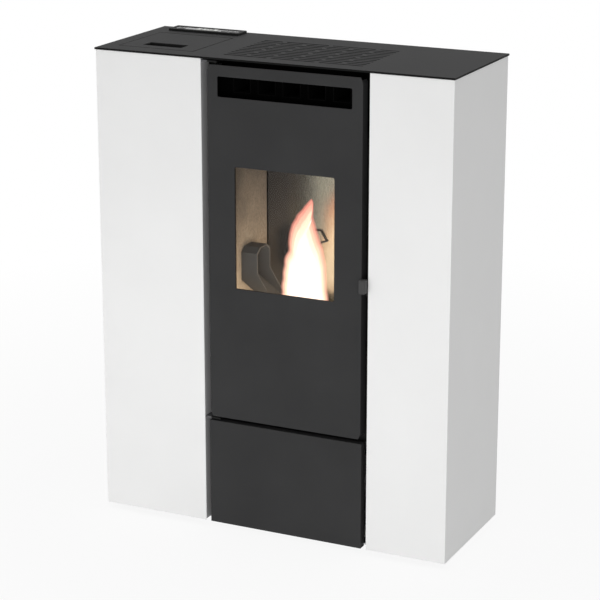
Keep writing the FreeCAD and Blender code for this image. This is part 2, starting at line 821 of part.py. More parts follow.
def back_openings():
    smoke = box(smoke_left + 6, smoke_right - 6, roof_bottom - 6 - smoke_hole, roof_bottom - 6)
    igniter = ring(middle, igniter_level, igniter_radius)
    return [smoke, igniter, ring(air_x, air_level, air_radius - air_wall)]


handle_rise = size("handle_rise", 94)
handle_depth = size("handle_depth", 4)


def liner_handle():
    top = window_bottom + handle_rise
    strip = [(middle - 22, top), (middle - 22, top - 3), (middle - 4, top - 3), (middle + 8, top - 22),
             (middle - 4, top - 26), (middle - 4, top - 30), (middle + 12, top - 24), (middle - 2, top)]
    keep("liner_handle", [plate("liner_handle", "XZ", [strip], wall_back - handle_depth, wall_back)])


def fire_bed():
    outline = box(wall_left, wall_right, bulkhead_back, wall_back)
    hole = box(middle - pot_width / 2 - pot_gap, middle + pot_width / 2 + pot_gap,
               pot_middle - pot_depth / 2 - pot_gap, pot_middle + pot_depth / 2 + pot_gap)
    ash = [box(middle + pot_width / 2 + pot_rim + 6, wall_right - 12, bulkhead_back + 16, wall_back - 16),
           box(wall_left + 12, middle - pot_width / 2 - pot_rim - 6, bulkhead_back + 16, wall_back - 16)]
    shelf = plate("burn_pot_shelf", "XY", [outline, hole] + ash, shelf_top - shelf_gauge, shelf_top)
    keep("burn_pot_shelf", [shelf])
    left, right = middle - pot_width / 2, middle + pot_width / 2
    near, far = pot_middle - pot_depth / 2, pot_middle + pot_depth / 2
    pot = plate("burn_pot", "XY", [box(left, right, near, far, 8)], pot_bottom, pot_top)
    rim = box(left - pot_rim, right + pot_rim, near - pot_rim, far + pot_rim)
    pot.pad("XY", [rim], shelf_top, shelf_top + rim_gauge)
    inside = box(left + pot_wall, right - pot_wall, near + pot_wall, far - pot_wall)
    pot.pocket("XY", [inside], pot_bottom + pot_wall, pot_top)
    air = [ring(middle, pot_middle, pot_hole)]
    for across in (-1, 1):
        for along in (-1, 1):
            air.append(ring(middle + pot_width / 4 * across, pot_middle + pot_depth / 4 * along, pot_hole))
    pot.pocket("XY", air, pot_bottom, pot_bottom + pot_wall)
    keep("burn_pot", [pot])
    rod = plate("igniter", "XZ", [ring(middle, igniter_level, igniter_radius)], far + 1.5, shell_outer + 24)
    keep("igniter", [rod])


pan_width = size("pan_width", 204)
pan_height = size("pan_height", 55)
pan_wall = size("pan_wall", 1.5)
pan_inset = size("pan_inset", 4)


def ash_pan():
    left, right = middle - pan_width / 2, middle + pan_width / 2
    near, far = bulkhead_back + pan_inset, wall_back - 12
    pan = plate("ash_pan", "XY", [box(left, right, near, far)], floor_top, floor_top + pan_height)
    inside = box(left + pan_wall, right - pan_wall, near + pan_wall, far - pan_wall)
    pan.pocket("XY", [inside], floor_top + pan_wall, floor_top + pan_height)
    handle = box(middle - 40, middle + 40, near - 12, near)
    pan.pad("XY", [handle], floor_top + pan_height - 16, floor_top + pan_height - 14)
    keep("ash_pan", [pan])


exhaust_radius = size("exhaust_radius", 62)
exhaust_depth = size("exhaust_depth", 48)
exhaust_wall = size("exhaust_wall", 3)
impeller_radius = size("impeller_radius", 52)
impeller_depth = size("impeller_depth", 26)
fan_shaft = size("fan_shaft", 5)
fan_motor = size("fan_motor", 34)
fan_motor_length = size("fan_motor_length", 60)
fan_motor_grip = size("fan_motor_grip", 20)
exhaust_near = shell_outer + smoke_depth - exhaust_depth
exhaust_far = shell_outer + smoke_depth
flue_end = plate_back + flue_reach


def exhaust():
    housing = plate("exhaust_housing", "XZ", [ring(flue_x, flue_level, exhaust_radius)], exhaust_near,
                    exhaust_far)
    neck = box(smoke_left, smoke_right, flue_level, flue_level + exhaust_radius + 12)
    housing.pad("XZ", [neck], shell_outer, exhaust_far)
    stand = box(flue_x - 30, flue_x + 30, base_top, flue_level)
    housing.pad("XZ", [stand], exhaust_near, exhaust_far)
    near, far = exhaust_near + exhaust_wall, exhaust_far - exhaust_wall
    housing.pocket("XZ", [ring(flue_x, flue_level, exhaust_radius - exhaust_wall)], near, far)
    throat = box(smoke_left + exhaust_wall, smoke_right - exhaust_wall, flue_level,
                 flue_level + exhaust_radius + 12)
    housing.pocket("XZ", [throat], shell_outer + exhaust_wall, far)
    housing.pocket("XZ", [ring(flue_x, flue_level, flue_radius - flue_wall)], far, exhaust_far)
    housing.pocket("XZ", [ring(flue_x, flue_level, fan_shaft + running_gap)], exhaust_near, near)
    keep("exhaust_housing", [housing])
    motor = plate("exhaust_motor", "XZ", [ring(flue_x, flue_level, fan_motor)],
                  exhaust_near - fan_motor_length,
                  exhaust_near)
    motor.pocket("XZ", [ring(flue_x, flue_level, fan_shaft + running_gap)], exhaust_near - fan_motor_grip,
                 exhaust_near)
    keep("exhaust_motor", [motor])
    wheel_near = near + 4
    wheel = plate("exhaust_impeller", "XZ", [ring(flue_x, flue_level, impeller_radius)], wheel_near,
                  wheel_near + 2)
    wheel.pad("XZ", [ring(flue_x, flue_level, fan_shaft)], exhaust_near - fan_motor_grip + 2,
              wheel_near + 14)
    blade = box(flue_x + 16, flue_x + impeller_radius - 1, flue_level - 1, flue_level + 1)
    vane = wheel.pad("XZ", [blade], wheel_near + 2, wheel_near + impeller_depth)
    keep("exhaust_impeller", [wheel])
    turn_about(wheel, vane, flue_x, flue_level, 12)
    loops = [ring(flue_x, flue_level, flue_radius), ring(flue_x, flue_level, flue_radius - flue_wall)]
    keep("flue_spigot", [plate("flue_spigot", "XZ", loops, exhaust_far, flue_end)])
    low = flue_level + exhaust_radius + 12
    duct = plate("smoke_duct", "XZ", [box(smoke_left, smoke_right, low, roof_bottom)], shell_outer,
                 exhaust_far)
    hollow = box(smoke_left + 2, smoke_right - 2, low, roof_bottom - 2)
    duct.pocket("XZ", [hollow], shell_outer, exhaust_far - 2)
    keep("smoke_duct", [duct])
    loops = [ring(air_x, air_level, air_radius), ring(air_x, air_level, air_radius - air_wall)]
    keep("air_intake", [plate("air_intake", "XZ", loops, shell_outer, plate_back + air_reach)])


def turn_about(piece, feature, x, z, count):
    # repeats a blade round the axis of its wheel
    axis = piece.body.newObject("PartDesign::Line", piece.body.Name + "_axis")
    support = [part for part in piece.body.Origin.OriginFeatures if part.Role == "XZ_Plane"][0]
    axis.AttachmentSupport = [(support, "")]
    axis.MapMode = "ObjectZ"
    spot = [as_size(x) - piece.at["x"], as_size(z) - piece.at["z"]]
    axis.AttachmentOffset = Placement(Vector(spot[0].value, spot[1].value, 0), Rotation())
    axis.setExpression("AttachmentOffset.Base.x", spot[0].text)
    axis.setExpression("AttachmentOffset.Base.y", spot[1].text)
    pattern = piece.body.newObject("PartDesign::PolarPattern", piece.body.Name + "_circle")
    pattern.Originals = [feature]
    pattern.Axis = (axis, [""])
    pattern.Angle = 360
    pattern.Occurrences = count
    piece.body.Tip = pattern


blower_motor_length = size("blower_motor_length", 46)
blower_gap = size("blower_gap", 11)
blower_radius = size("blower_radius", 32)
blower_level = size("blower_level", 95)
blower_back = size("blower_back", 110)
blower_wall = size("blower_wall", 3)
blower_left = column_left + 4
blower_right = flue_x - exhaust_radius - blower_motor_length - blower_gap
blower_y = body_back - blower_back


def blower():
    near, far = blower_y - blower_radius - 10, blower_y + blower_radius + 10
    high = blower_level + blower_radius + 24
    housing = plate("blower_housing", "YZ", [box(near, far, base_top, high)], blower_left, blower_right)
    inner = blower_radius + 5
    start, stop = blower_left + blower_wall, blower_right - blower_wall
    housing.pocket("YZ", [ring(blower_y, blower_level, inner)], start, stop)
    housing.pocket("YZ", [box(blower_y - inner, blower_y + inner - 6, blower_level, high)], start, stop)
    housing.pocket("YZ", [box(blower_y, far, blower_level - 22, blower_level + 10)], start, stop)
    housing.pocket("YZ", [ring(blower_y, blower_level, fan_shaft + running_gap)], blower_left, blower_right)
    keep("blower_housing", [housing])
    motor = plate("blower_motor", "YZ", [ring(blower_y, blower_level, 28)], blower_right,
                  blower_right + blower_motor_length)
    motor.pocket("YZ", [ring(blower_y, blower_level, fan_shaft + running_gap)], blower_right,
                 blower_right + 16)
    keep("blower_motor", [motor])
    rotor = Piece("blower_rotor", start + 3, blower_y, blower_level)
    rotor.pad("YZ", [ring(blower_y, blower_level, fan_shaft)], blower_left, blower_right + 14)
    rotor.pad("YZ", [ring(blower_y, blower_level, blower_radius)], start + 3, start + 5)
    rotor.pad("YZ", [ring(blower_y, blower_level, blower_radius)], stop - 5, stop - 3)
    blade = box(blower_y + blower_radius - 9, blower_y + blower_radius - 1, blower_level - 0.8,
                blower_level + 0.8)
    vane = rotor.pad("YZ", [blade], start + 5, stop - 5)
    keep("blower_rotor", [rotor])
    rotor.circle_of([vane], "N_Axis", 12)


socket_width = size("socket_width", 62)
socket_height = size("socket_height", 26)
socket_side = size("socket_side", 52)
socket_rise = size("socket_rise", 48)
socket_rim = size("socket_rim", 5)
socket_depth = size("socket_depth", 28)
rocker_tilt = size("rocker_tilt", 8)
socket_left = body_left + socket_side
socket_right = socket_left + socket_width
socket_low = foot_gap + socket_rise
socket_high = socket_low + socket_height
socket_face = body_back + 2
rocker_x = socket_right - 13
rocker_y = body_back - 4.5
rocker_z = (socket_low + socket_high) / 2


def power_inlet():
    near = body_back - socket_depth
    inlet = plate("power_inlet", "XZ", [box(socket_left, socket_right, socket_low, socket_high)], near,
                  body_back)
    rim = box(socket_left - socket_rim, socket_right + socket_rim, socket_low - socket_rim,
              socket_high + socket_rim, 3)
    inlet.pad("XZ", [rim], body_back, socket_face)
    recess = box(socket_left + 4, socket_left + 31, socket_low + 3, socket_high - 3)
    inlet.pocket("XZ", [recess], socket_face - 18, socket_face)
    well = box(rocker_x - 8, rocker_x + 8, rocker_z - 10, rocker_z + 10)
    inlet.pocket("XZ", [well], rocker_y - 9, socket_face)
    trunnion = ring(rocker_y, rocker_z, 1.5 + running_gap)
    inlet.pocket("YZ", [trunnion], rocker_x - 10, rocker_x + 10)
    for across in (-7, 0, 7):
        blade_x = socket_left + 17.5 + across
        inlet.pad("XZ", [box(blade_x - 1, blade_x + 1, rocker_z - 3, rocker_z + 3)], socket_face - 18,
                  socket_face - 4)
    keep("power_inlet", [inlet])
    rocker = Piece("power_rocker", rocker_x, rocker_y, rocker_z)
    rocker.body.Placement = Placement(rocker.body.Placement.Base,
                                      Rotation(Vector(1, 0, 0), rocker_tilt.value))
    rocker.body.setExpression("Placement.Rotation.Angle", rocker_tilt.text)
    face = [(rocker_y - 4, rocker_z - 6), (rocker_y + 6, rocker_z - 7.5), (rocker_y + 5, rocker_z),
            (rocker_y + 6, rocker_z + 7.5), (rocker_y - 4, rocker_z + 6)]
    rocker.pad("YZ", [face], rocker_x - 7, rocker_x + 7)
    rocker.pad("YZ", [ring(rocker_y, rocker_z, as_size(1.5))], rocker_x - 9.5, rocker_x + 9.5)
    keep("power_rocker", [rocker])


board_back = size("board_back", 68)
board_length = size("board_length", 120)
board_drop = size("board_drop", 20)
board_height = size("board_height", 170)
board_depth = size("board_depth", 45)


def control_box():
    far = body_back - board_back
    top = window_bottom - board_drop
    outline = box(far - board_length, far, top - board_height, top)
    start = column_right + partition_gauge
    keep("control_box", [plate("control_box", "YZ", [outline], start, start + board_depth)])


def control_panel():
    frame = [box(bezel_left, bezel_right, bezel_near, bezel_far, 3)]
    housing = plate("panel_housing", "XY", frame, height, bezel_top)
    floor = height - tub_depth
    housing.pad("XY", [box(tub_left, tub_right, tub_near, tub_far)], floor, height)
    inside = box(tub_left + tub_wall, tub_right - tub_wall, tub_near + tub_wall, tub_far - tub_wall)
    housing.pocket("XY", [inside], floor + tub_wall, bezel_top)
    keep("panel_housing", [housing])
    fascia_low = fascia_top - fascia_gauge
    holes = []
    for i, x in enumerate(key_spots):
        near, far = panel_middle - key_length / 2, panel_middle + key_length / 2
        hole = box(x - key_width / 2 - key_gap, x + key_width / 2 + key_gap, near - key_gap, far + key_gap)
        holes.append(hole)
        key = plate("panel_key", "XY", [box(x - key_width / 2, x + key_width / 2, near, far)],
                    fascia_low - key_stem, fascia_top + key_stand)
        keep("panel_key_%d" % (i + 1), [key])
    keep("panel_fascia", [plate("panel_fascia", "XY", [inside] + holes, fascia_low, fascia_top)])
    near, far = panel_middle - display_length / 2, panel_middle + display_length / 2
    glass = box(lid_middle - display_width / 2, lid_middle + display_width / 2, near, far)
    keep("panel_display", [plate("panel_display", "XY", [glass], fascia_top, fascia_top + display_gauge)])


key_spots = [lid_middle - fascia_width * key_spread, lid_middle + fascia_width * (key_spread - key_step),
             lid_middle + fascia_width * key_spread]

seal_margin = size("seal_margin", 4)
frame_band = size("frame_band", 16)
frame_depth = size("frame_depth", 27.5)
seal_width = size("seal_width", 10)
groove_depth = size("groove_depth", 6)
door_seal_gap = size("door_seal_gap", 0.4)
glass_gauge = size("glass_gauge", 4)
gasket_gauge = size("gasket_gauge", 2)
glass_margin = size("glass_margin", 10)
clip_gauge = size("clip_gauge", 1.5)
clip_foot = size("clip_foot", 7)
hinge_in = size("hinge_in", 12)
hinge_back = size("hinge_back", 14)
hinge_pin = size("hinge_pin", 4)
lug_gauge = size("lug_gauge", 5)
hinge_gauge = size("hinge_gauge", 4)
frame_back = skin_back + frame_depth
glass_near = skin_back + gasket_gauge
glass_far = glass_near + glass_gauge
hinge_x = door_left + hinge_in
hinge_y = body_front + hinge_back


def frame_ring(out):
    half = opening_width / 2 + seal_margin + out
    return box(middle - half, middle + half, opening_bottom - seal_margin - out,
               opening_top + seal_margin + out)


def door_panel():
    flange = body_front + door_flange
    outline = [(door_left, body_front), (door_right, body_front), (door_right, flange),
               (door_right - door_gauge, flange), (door_right - door_gauge, skin_back),
               (door_left + door_gauge, skin_back), (door_left + door_gauge, flange), (door_left, flange)]
    door = plate("door_panel", "XY", [outline], door_bottom, door_top)
    slot = box(middle - slot_width / 2, middle + slot_width / 2, slot_bottom, slot_top, slot_corner)
    window = box(middle - window_width / 2, middle + window_width / 2, window_bottom, window_top,
                 window_corner)
    door.pocket("XZ", [slot, window], body_front, skin_back)
    cuts = []
    for edge, out in ((door_left, 1), (door_right, -1)):
        for end, up in ((door_bottom, 1), (door_top, -1)):
            cuts.append([(edge, end), (edge + corner_cut * out, end), (edge, end + corner_rise * up)])
    door.pocket("XZ", cuts, body_front, flange)
    lug = box(door_left + corner_cut, hinge_x + 10, skin_back, hinge_y + 10)
    bore = ring(hinge_x, hinge_y, hinge_pin + running_gap)
    door.pad("XY", [lug, bore], door_bottom, door_bottom + lug_gauge)
    door.pad("XY", [lug, bore], door_top - lug_gauge, door_top)
    keep("door_panel", [door])


def door_inside():
    frame = plate("door_frame", "XZ", [frame_ring(frame_band), frame_ring(as_size(0))], skin_back,
                  frame_back)
    inner = (frame_band - seal_width) / 2
    groove = [frame_ring(inner + seal_width), frame_ring(inner)]
    frame.pocket("XZ", groove, frame_back - groove_depth, frame_back)
    keep("door_frame", [frame])
    rope = plate("door_seal", "XZ", groove, frame_back - groove_depth, bulkhead_front - door_seal_gap)
    keep("door_seal", [rope])
    glass = box(middle - window_width / 2 - glass_margin, middle + window_width / 2 + glass_margin,
                window_bottom - glass_margin, window_top + glass_margin)
    keep("door_glass", [plate("door_glass", "XZ", [glass], glass_near, glass_far)])
    hole = box(middle - window_width / 2, middle + window_width / 2, window_bottom, window_top)
    keep("glass_gasket", [plate("glass_gasket", "XZ", [glass, hole], skin_back, glass_near)])
    clips = []
    start, stop = middle - window_width / 2, middle + window_width / 2
    for edge, out in ((window_bottom - glass_margin, -1), (window_top + glass_margin, 1)):
        step = clip_gauge * out
        strip = [(skin_back, edge), (skin_back, edge + clip_foot * out),
                 (skin_back + clip_gauge, edge + clip_foot * out),
                 (skin_back + clip_gauge, edge + step), (glass_far + clip_gauge, edge + step),
                 (glass_far + clip_gauge, edge - 8 * out), (glass_far, edge - 8 * out), (glass_far, edge)]
        clips.append(plate("glass_clip", "YZ", [strip], start, stop))
    keep("glass_clips", clips)
    half = opening_width / 2 + seal_margin
    shield = box(middle - half, middle + half, opening_bottom - seal_margin, window_bottom - 34)
    keep("door_shield", [plate("door_shield", "XZ", [shield], frame_back - 6, frame_back - 4)])


def hinge_brackets():
    brackets = []
    loop = box(column_left, hinge_x + 9, body_front + 2, bulkhead_front)
    pin = ring(hinge_x, hinge_y, hinge_pin)
    low = door_bottom - 3 - hinge_gauge
    lower = plate("hinge_bracket", "XY", [loop], low, door_bottom - 3)
    lower.pad("XY", [ring(hinge_x, hinge_y, hinge_pin + 3)], low, door_bottom)
    lower.pad("XY", [pin], low, door_bottom + lug_gauge + 5)
    high = door_top + 4
    upper = plate("hinge_bracket", "XY", [loop], high, high + hinge_gauge)
    upper.pad("XY", [pin], door_top - lug_gauge - 5, high + hinge_gauge)
    keep("hinge_brackets", [lower, upper])


latch_out = size("latch_out", 6.5)
latch_rise = size("latch_rise", 43)
knob_width = size("knob_width", 15)
knob_height = size("knob_height", 30)
knob_reach = size("knob_reach", 12)
knob_gap = size("knob_gap", 1)
knob_bevel = size("knob_bevel", 1.5)
spindle_radius = size("spindle_radius", 4)
cam_gauge = size("cam_gauge", 6)
cam_reach = size("cam_reach", 22)
keeper_gap = size("keeper_gap", 2)
latch_x = door_right + latch_out
latch_level = window_bottom + latch_rise
knob_front = plate_front - knob_reach
knob_back = body_front - knob_gap
cam_near = body_front + door_flange + 4
cam_far = cam_near + cam_gauge
keeper_left = door_right + keeper_gap
keeper_near = cam_near - 10
keeper_far = cam_near - 3


def latch():
    block = box(door_right, latch_x + 6, latch_level - 9, latch_level + 9)
    bore = ring(latch_x, latch_level, spindle_radius + running_gap)
    keep("latch_housing", [plate("latch_housing", "XZ", [block, bore], body_front + 3, keeper_near - 1)])
    spindle = plate("latch_spindle", "XZ", [ring(latch_x, latch_level, spindle_radius)], knob_back, cam_far)
    spindle.pad("XZ", [ring(latch_x, latch_level, spindle_radius + 2.5)], cam_near, cam_far)
    spindle.pad("XZ", [box(latch_x - cam_reach, latch_x, latch_level - 4, latch_level + 4)], cam_near,
                cam_far)
    keep("latch_spindle", [spindle])
    outline = box(latch_x - knob_width / 2, latch_x + knob_width / 2, latch_level - knob_height / 2,
                  latch_level + knob_height / 2, 4)
    knob = plate("latch_knob", "XZ", [outline], knob_front + knob_bevel, knob_back)
    nose = box(latch_x - knob_width / 2 + knob_bevel, latch_x + knob_width / 2 - knob_bevel,
               latch_level - knob_height / 2 + knob_bevel, latch_level + knob_height / 2 - knob_bevel, 3)
    knob.pad("XZ", [nose], knob_front, knob_front + knob_bevel)
    keep("latch_knob", [knob])


stud_radius = size("stud_radius", 4)
stud_inset = size("stud_inset", 57)
bar_height = size("bar_height", 26)
bar_gauge = size("bar_gauge", 3)
stud_across = column_width / 2 - stud_inset
bar_near = body_front + cover_flange + 6
stud_levels = [foot_gap + 30, cover_top - 42]


def lower_cover():
    left, right = column_left + cover_side_gap, column_right - cover_side_gap
    flange = body_front + cover_flange
    outline = [(left, body_front), (right, body_front), (right, flange), (right - cover_gauge, flange),
               (right - cover_gauge, cover_back), (left + cover_gauge, cover_back),
               (left + cover_gauge, flange),
               (left, flange)]
    cover = plate("lower_panel", "XY", [outline], foot_gap, cover_top)
    cover.pad("XY", [box(left, right, body_front, flange)], cover_top - cover_gauge, cover_top)
    for level in stud_levels:
        studs = [ring(middle - stud_across, level, stud_radius),
                 ring(middle + stud_across, level, stud_radius)]
        cover.pad("XZ", studs[:1], cover_back, bar_near + bar_gauge + 5)
        cover.pad("XZ", studs[1:], cover_back, bar_near + bar_gauge + 5)
    keep("lower_panel", [cover])
    bars = []
    for level in stud_levels:
        loop = box(column_left, column_right, level - bar_height / 2, level + bar_height / 2)
        bores = [ring(middle + stud_across * way, level, stud_radius + running_gap) for way in (-1, 1)]
        bars.append(plate("cross_bar", "XZ", [loop] + bores, bar_near, bar_near + bar_gauge))
    keep("cross_bars", bars)


base_plate()
levelling_feet()
casings()
partitions()
rear_panel()
top_plate()
hopper_mouth()
hopper_lid()
hopper()
auger()
auger_screw()
pellet_chute()
bulkhead()
firebox()
liner_handle()
fire_bed()
ash_pan()
exhaust()
blower()
power_inlet()
control_box()
control_panel()
door_panel()
door_inside()
hinge_brackets()
latch()
lower_cover()

doc.recompute()
for thing in doc.Objects:
    if "Invalid" in thing.State or "Error" in thing.State:
        raise RuntimeError("%s is %s" % (thing.Name, thing.State))
os.makedirs("parts", exist_ok=True)
for label, thing in made.items():
    if thing.Shape.isNull() or not thing.Shape.isValid():
        raise RuntimeError("%s has no good shape" % label)
    thing.Shape.exportStep("parts/%s.step" % label)
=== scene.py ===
import json
import math
import random
import bmesh
import bpy
from mathutils import Matrix, Vector


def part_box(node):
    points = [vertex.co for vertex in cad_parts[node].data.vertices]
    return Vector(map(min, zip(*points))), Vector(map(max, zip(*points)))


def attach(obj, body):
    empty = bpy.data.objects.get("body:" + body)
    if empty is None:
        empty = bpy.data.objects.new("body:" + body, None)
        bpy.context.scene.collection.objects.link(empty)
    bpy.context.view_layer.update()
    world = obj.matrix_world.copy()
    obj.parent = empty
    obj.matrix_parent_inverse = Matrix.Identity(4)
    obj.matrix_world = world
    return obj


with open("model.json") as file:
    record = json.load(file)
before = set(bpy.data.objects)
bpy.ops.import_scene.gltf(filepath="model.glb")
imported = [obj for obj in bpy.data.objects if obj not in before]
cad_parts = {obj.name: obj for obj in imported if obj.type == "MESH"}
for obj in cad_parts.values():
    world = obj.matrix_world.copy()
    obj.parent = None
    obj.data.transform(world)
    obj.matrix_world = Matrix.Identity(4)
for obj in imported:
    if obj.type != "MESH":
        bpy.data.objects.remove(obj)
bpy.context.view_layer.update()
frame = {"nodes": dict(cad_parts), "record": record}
nodes = frame["nodes"]
scene = bpy.context.scene
fullTurn = 2 * math.pi
print("stove loaded,", len(nodes), "pieces")


class Wire:  # a socket that can stand in a sum
    def __init__(self, book, socket):
        self.book = book
        self.socket = socket

    def maths(self, operation, first, second):
        return self.book.add("ShaderNodeMath", {"operation": operation}, {0: first, 1: second}).out()

    def __add__(self, other):
        return self.maths("ADD", self, other)

    def __radd__(self, other):
        return self.maths("ADD", other, self)

    def __sub__(self, other):
        return self.maths("SUBTRACT", self, other)

    def __rsub__(self, other):
        return self.maths("SUBTRACT", other, self)

    def __mul__(self, other):
        return self.maths("MULTIPLY", self, other)

    def __rmul__(self, other):
        return self.maths("MULTIPLY", other, self)


class Placed:  # a node in a book, with its outputs as wires
    def __init__(self, book, node):
        self.book = book
        self.node = node

    def out(self, key=0):
        return Wire(self.book, self.node.outputs[key])


class Book:  # one node tree, written node by node
    def __init__(self, tree):
        self.tree = tree

    def add(self, kind, settings=None, sockets=None):
        node = self.tree.nodes.new(kind)
        for key, value in (settings or {}).items():
            if key == "stops":
                self.fillRamp(node.color_ramp, value)
            else:
                setattr(node, key, value)
        for key, value in (sockets or {}).items():
            self.feed(node.inputs[key], value)
        return Placed(self, node)

    def fillRamp(self, ramp, stops):
        while len(ramp.elements) < len(stops):
            ramp.elements.new(1.0)
        for element, (where, colour) in zip(ramp.elements, stops):
            element.position = where
            element.color = tuple(colour) + (1.0,)

    def feed(self, socket, value):
        if isinstance(value, Wire):
            self.tree.links.new(value.socket, socket)
        elif socket.type == "RGBA" and len(value) == 3:
            socket.default_value = tuple(value) + (1.0,)
        else:
            socket.default_value = value

    def place(self, stretch=None):  # where on the piece, in the stove's own frame
        where = self.add("ShaderNodeTexCoord").out("Object")
        if stretch:
            where = self.add("ShaderNodeVectorMath", {"operation": "MULTIPLY"}, {0: where, 1: stretch}).out()
        return where

    def along(self, axis):  # metres along X, Y or Z
        return self.add("ShaderNodeSeparateXYZ", {}, {"Vector": self.place()}).out(axis)

    def noise(self, scale, detail=3.0, roughness=0.5, stretch=None):
        return self.add("ShaderNodeTexNoise", {}, {"Vector": self.place(stretch), "Scale": scale,
                                                   "Detail": detail, "Roughness": roughness}).out("Fac")

    def cells(self, scale, key):
        return self.add("ShaderNodeTexVoronoi", {}, {"Vector": self.place(), "Scale": scale}).out(key)

    def blend(self, share, first, second):  # a colour between two colours
        return self.add("ShaderNodeMix", {"data_type": "RGBA"}, {"Factor": share, 6: first, 7: second}).out(2)

    def ramp(self, value, stops):
        return self.add("ShaderNodeValToRGB", {"stops": stops}, {"Fac": value}).out("Color")

    def band(self, value, low, high):  # 0 below low, 1 above high
        return self.add("ShaderNodeMapRange", {"clamp": True},
                        {"Value": value, "From Min": low, "From Max": high}).out()

    def bump(self, height, strength, distance):
        return self.add("ShaderNodeBump", {}, {"Height": height, "Strength": strength,
                                               "Distance": distance}).out("Normal")

    def seenRays(self):  # 1 for what the camera sees, straight or by way of metal and glass
        rays = self.add("ShaderNodeLightPath")
        mirrored = rays.out("Is Glossy Ray") + rays.out("Is Transmission Ray")
        return self.add("ShaderNodeMath", {"operation": "ADD", "use_clamp": True},
                        {0: rays.out("Is Camera Ray"), 1: mirrored}).out()


socketNames = {"colour": "Base Color", "rough": "Roughness", "metal": "Metallic", "normal": "Normal",
               "coat": "Coat Weight", "alpha": "Alpha", "ior": "IOR", "glow": "Emission Color",
               "glowStrength": "Emission Strength", "specular": "Specular IOR Level"}


class Finish(Book):  # a material: fixed values go straight on the shader's sockets
    def __init__(self, name):
        self.material = bpy.data.materials.new(name)
        self.material.use_nodes = True
        super().__init__(self.material.node_tree)
        self.shader = self.tree.nodes["Principled BSDF"]

    def set(self, **values):
        for key, value in values.items():
            self.feed(self.shader.inputs[socketNames[key]], value)
        return self


def between(share, ends):  # a number on its way from one end to the other
    return ends[0] + share * (ends[1] - ends[0])


coating = {"cloud": 6.0, "cloudShare": 0.75, "speck": 0.8, "speckShare": 0.25, "tone": (0.35, 0.65),
           "spread": 0.1, "peelDetail": 2.0, "peelDepth": 0.0003}  # what all the powder coats share

powderCoats = {  # dark and light ends, roughness, grain of the orange peel in 1/m, its lift, gloss
    "whiteCoat": {"low": (0.818, 0.818, 0.814), "high": (0.84, 0.84, 0.836), "rough": 0.42, "peel": 900,
                  "lift": 0.10, "specular": 0.4},
    "blackCoat": {"low": (0.030, 0.030, 0.0305), "high": (0.037, 0.037, 0.0375), "rough": 0.66, "peel": 1500,
                  "lift": 0.22, "specular": 0.12},
    "greyCoat": {"low": (0.085, 0.085, 0.088), "high": (0.11, 0.11, 0.114), "peel": 1200},
    "ductBlack": {"low": (0.002, 0.002, 0.002), "high": (0.005, 0.005, 0.005), "rough": 0.9, "peel": 1800,
                  "lift": 0.2, "specular": 0.02},
    "partitionGrey": {"low": (0.45, 0.45, 0.453), "high": (0.51, 0.51, 0.513), "rough": 0.5, "peel": 1200,
                      "lift": 0.12, "specular": 0.35},
    "chuteGrey": {"low": (0.095, 0.094, 0.092), "high": (0.13, 0.128, 0.125), "rough": 0.6, "peel": 1500,
                  "lift": 0.25, "specular": 0.3},
    "stoveBlack": {"low": (0.018, 0.018, 0.018), "high": (0.034, 0.033, 0.032), "rough": 0.62, "peel": 1800,
                   "lift": 0.25, "specular": 0.3},
}


class Coat(Finish):  # a powder coat: clouded colour over a fine orange peel
    def __init__(self, name):
        super().__init__(name)
        self.cloud = self.noise(coating["cloud"])

    def clouded(self, look):
        return self.blend(self.band(self.cloud, *coating["tone"]), look["low"], look["high"])

    def speckled(self, look):
        speck = self.noise(look["peel"] * coating["speck"], coating["peelDetail"])
        mottle = self.cloud * coating["cloudShare"] + speck * coating["speckShare"]
        return self.blend(self.band(mottle, *coating["tone"]), look["low"], look["high"])

    def peel(self, grain, lift):
        return self.bump(self.noise(grain, coating["peelDetail"]), lift, coating["peelDepth"])

    def spray(self, look, colour):  # a colour with the roughness, gloss and peel of its coat
        least = look["rough"] - coating["spread"] / 2
        return self.set(colour=colour, rough=least + self.cloud * coating["spread"],
                        specular=look["specular"], normal=self.peel(look["peel"], look["lift"])).material


def powderCoat(name):
    coat = Coat(name)
    return coat.spray(powderCoats[name], coat.speckled(powderCoats[name]))


# above the given height the bulkhead gets painted shade, near black, for the dark behind the door's slot
tubePlate = {"coat": "stoveBlack", "sootAndShade": (0.0009, 0.0009, 0.0009), "sootAndShadeFrom": 0.86, "sootAndShadeTo": 0.90,
             "rough": 0.78, "spread": 0.15, "specular": 0.02}  # heights in metres


def shadedBulkhead():  # stove black below, and above a height a painted shade, near black, where the plate lies in the dark behind the door's slot
    look = powderCoats[tubePlate["coat"]]
    coat = Coat("shadedBulkhead")
    # painted shade: near black above the given height
    shadeBand = coat.band(coat.along("Z"), tubePlate["sootAndShadeFrom"], tubePlate["sootAndShadeTo"])
    return coat.set(colour=coat.blend(shadeBand, coat.clouded(look), tubePlate["sootAndShade"]),
                    rough=tubePlate["rough"] + coat.cloud * tubePlate["spread"],
                    specular=tubePlate["specular"], normal=coat.peel(look["peel"], look["lift"])).material


twoCoats = {"soft": 0.0002, "rough": 0.55, "spread": 0.1, "specular": 0.2, "lift": 0.15,
            "hinge_brackets": ("greyCoat", -0.1392, "ductBlack"),  # left coat, line across in m, right coat
            "right_partition": ("stoveBlack", 0.2207, "partitionGrey")}


def splitCoat(node):  # a bracket's flange like the wall that it is on, and its lug or keeper black
    look = twoCoats
    leftName, line, rightName = look[node]
    left, right = powderCoats[leftName], powderCoats[rightName]
    coat = Coat("split_" + node)
    side = coat.band(coat.along("X"), line - look["soft"], line + look["soft"])
    return coat.set(colour=coat.blend(side, coat.clouded(left), coat.clouded(right)),
                    rough=look["rough"] + coat.cloud * look["spread"], specular=look["specular"],
                    normal=coat.peel(left["peel"], look["lift"])).material


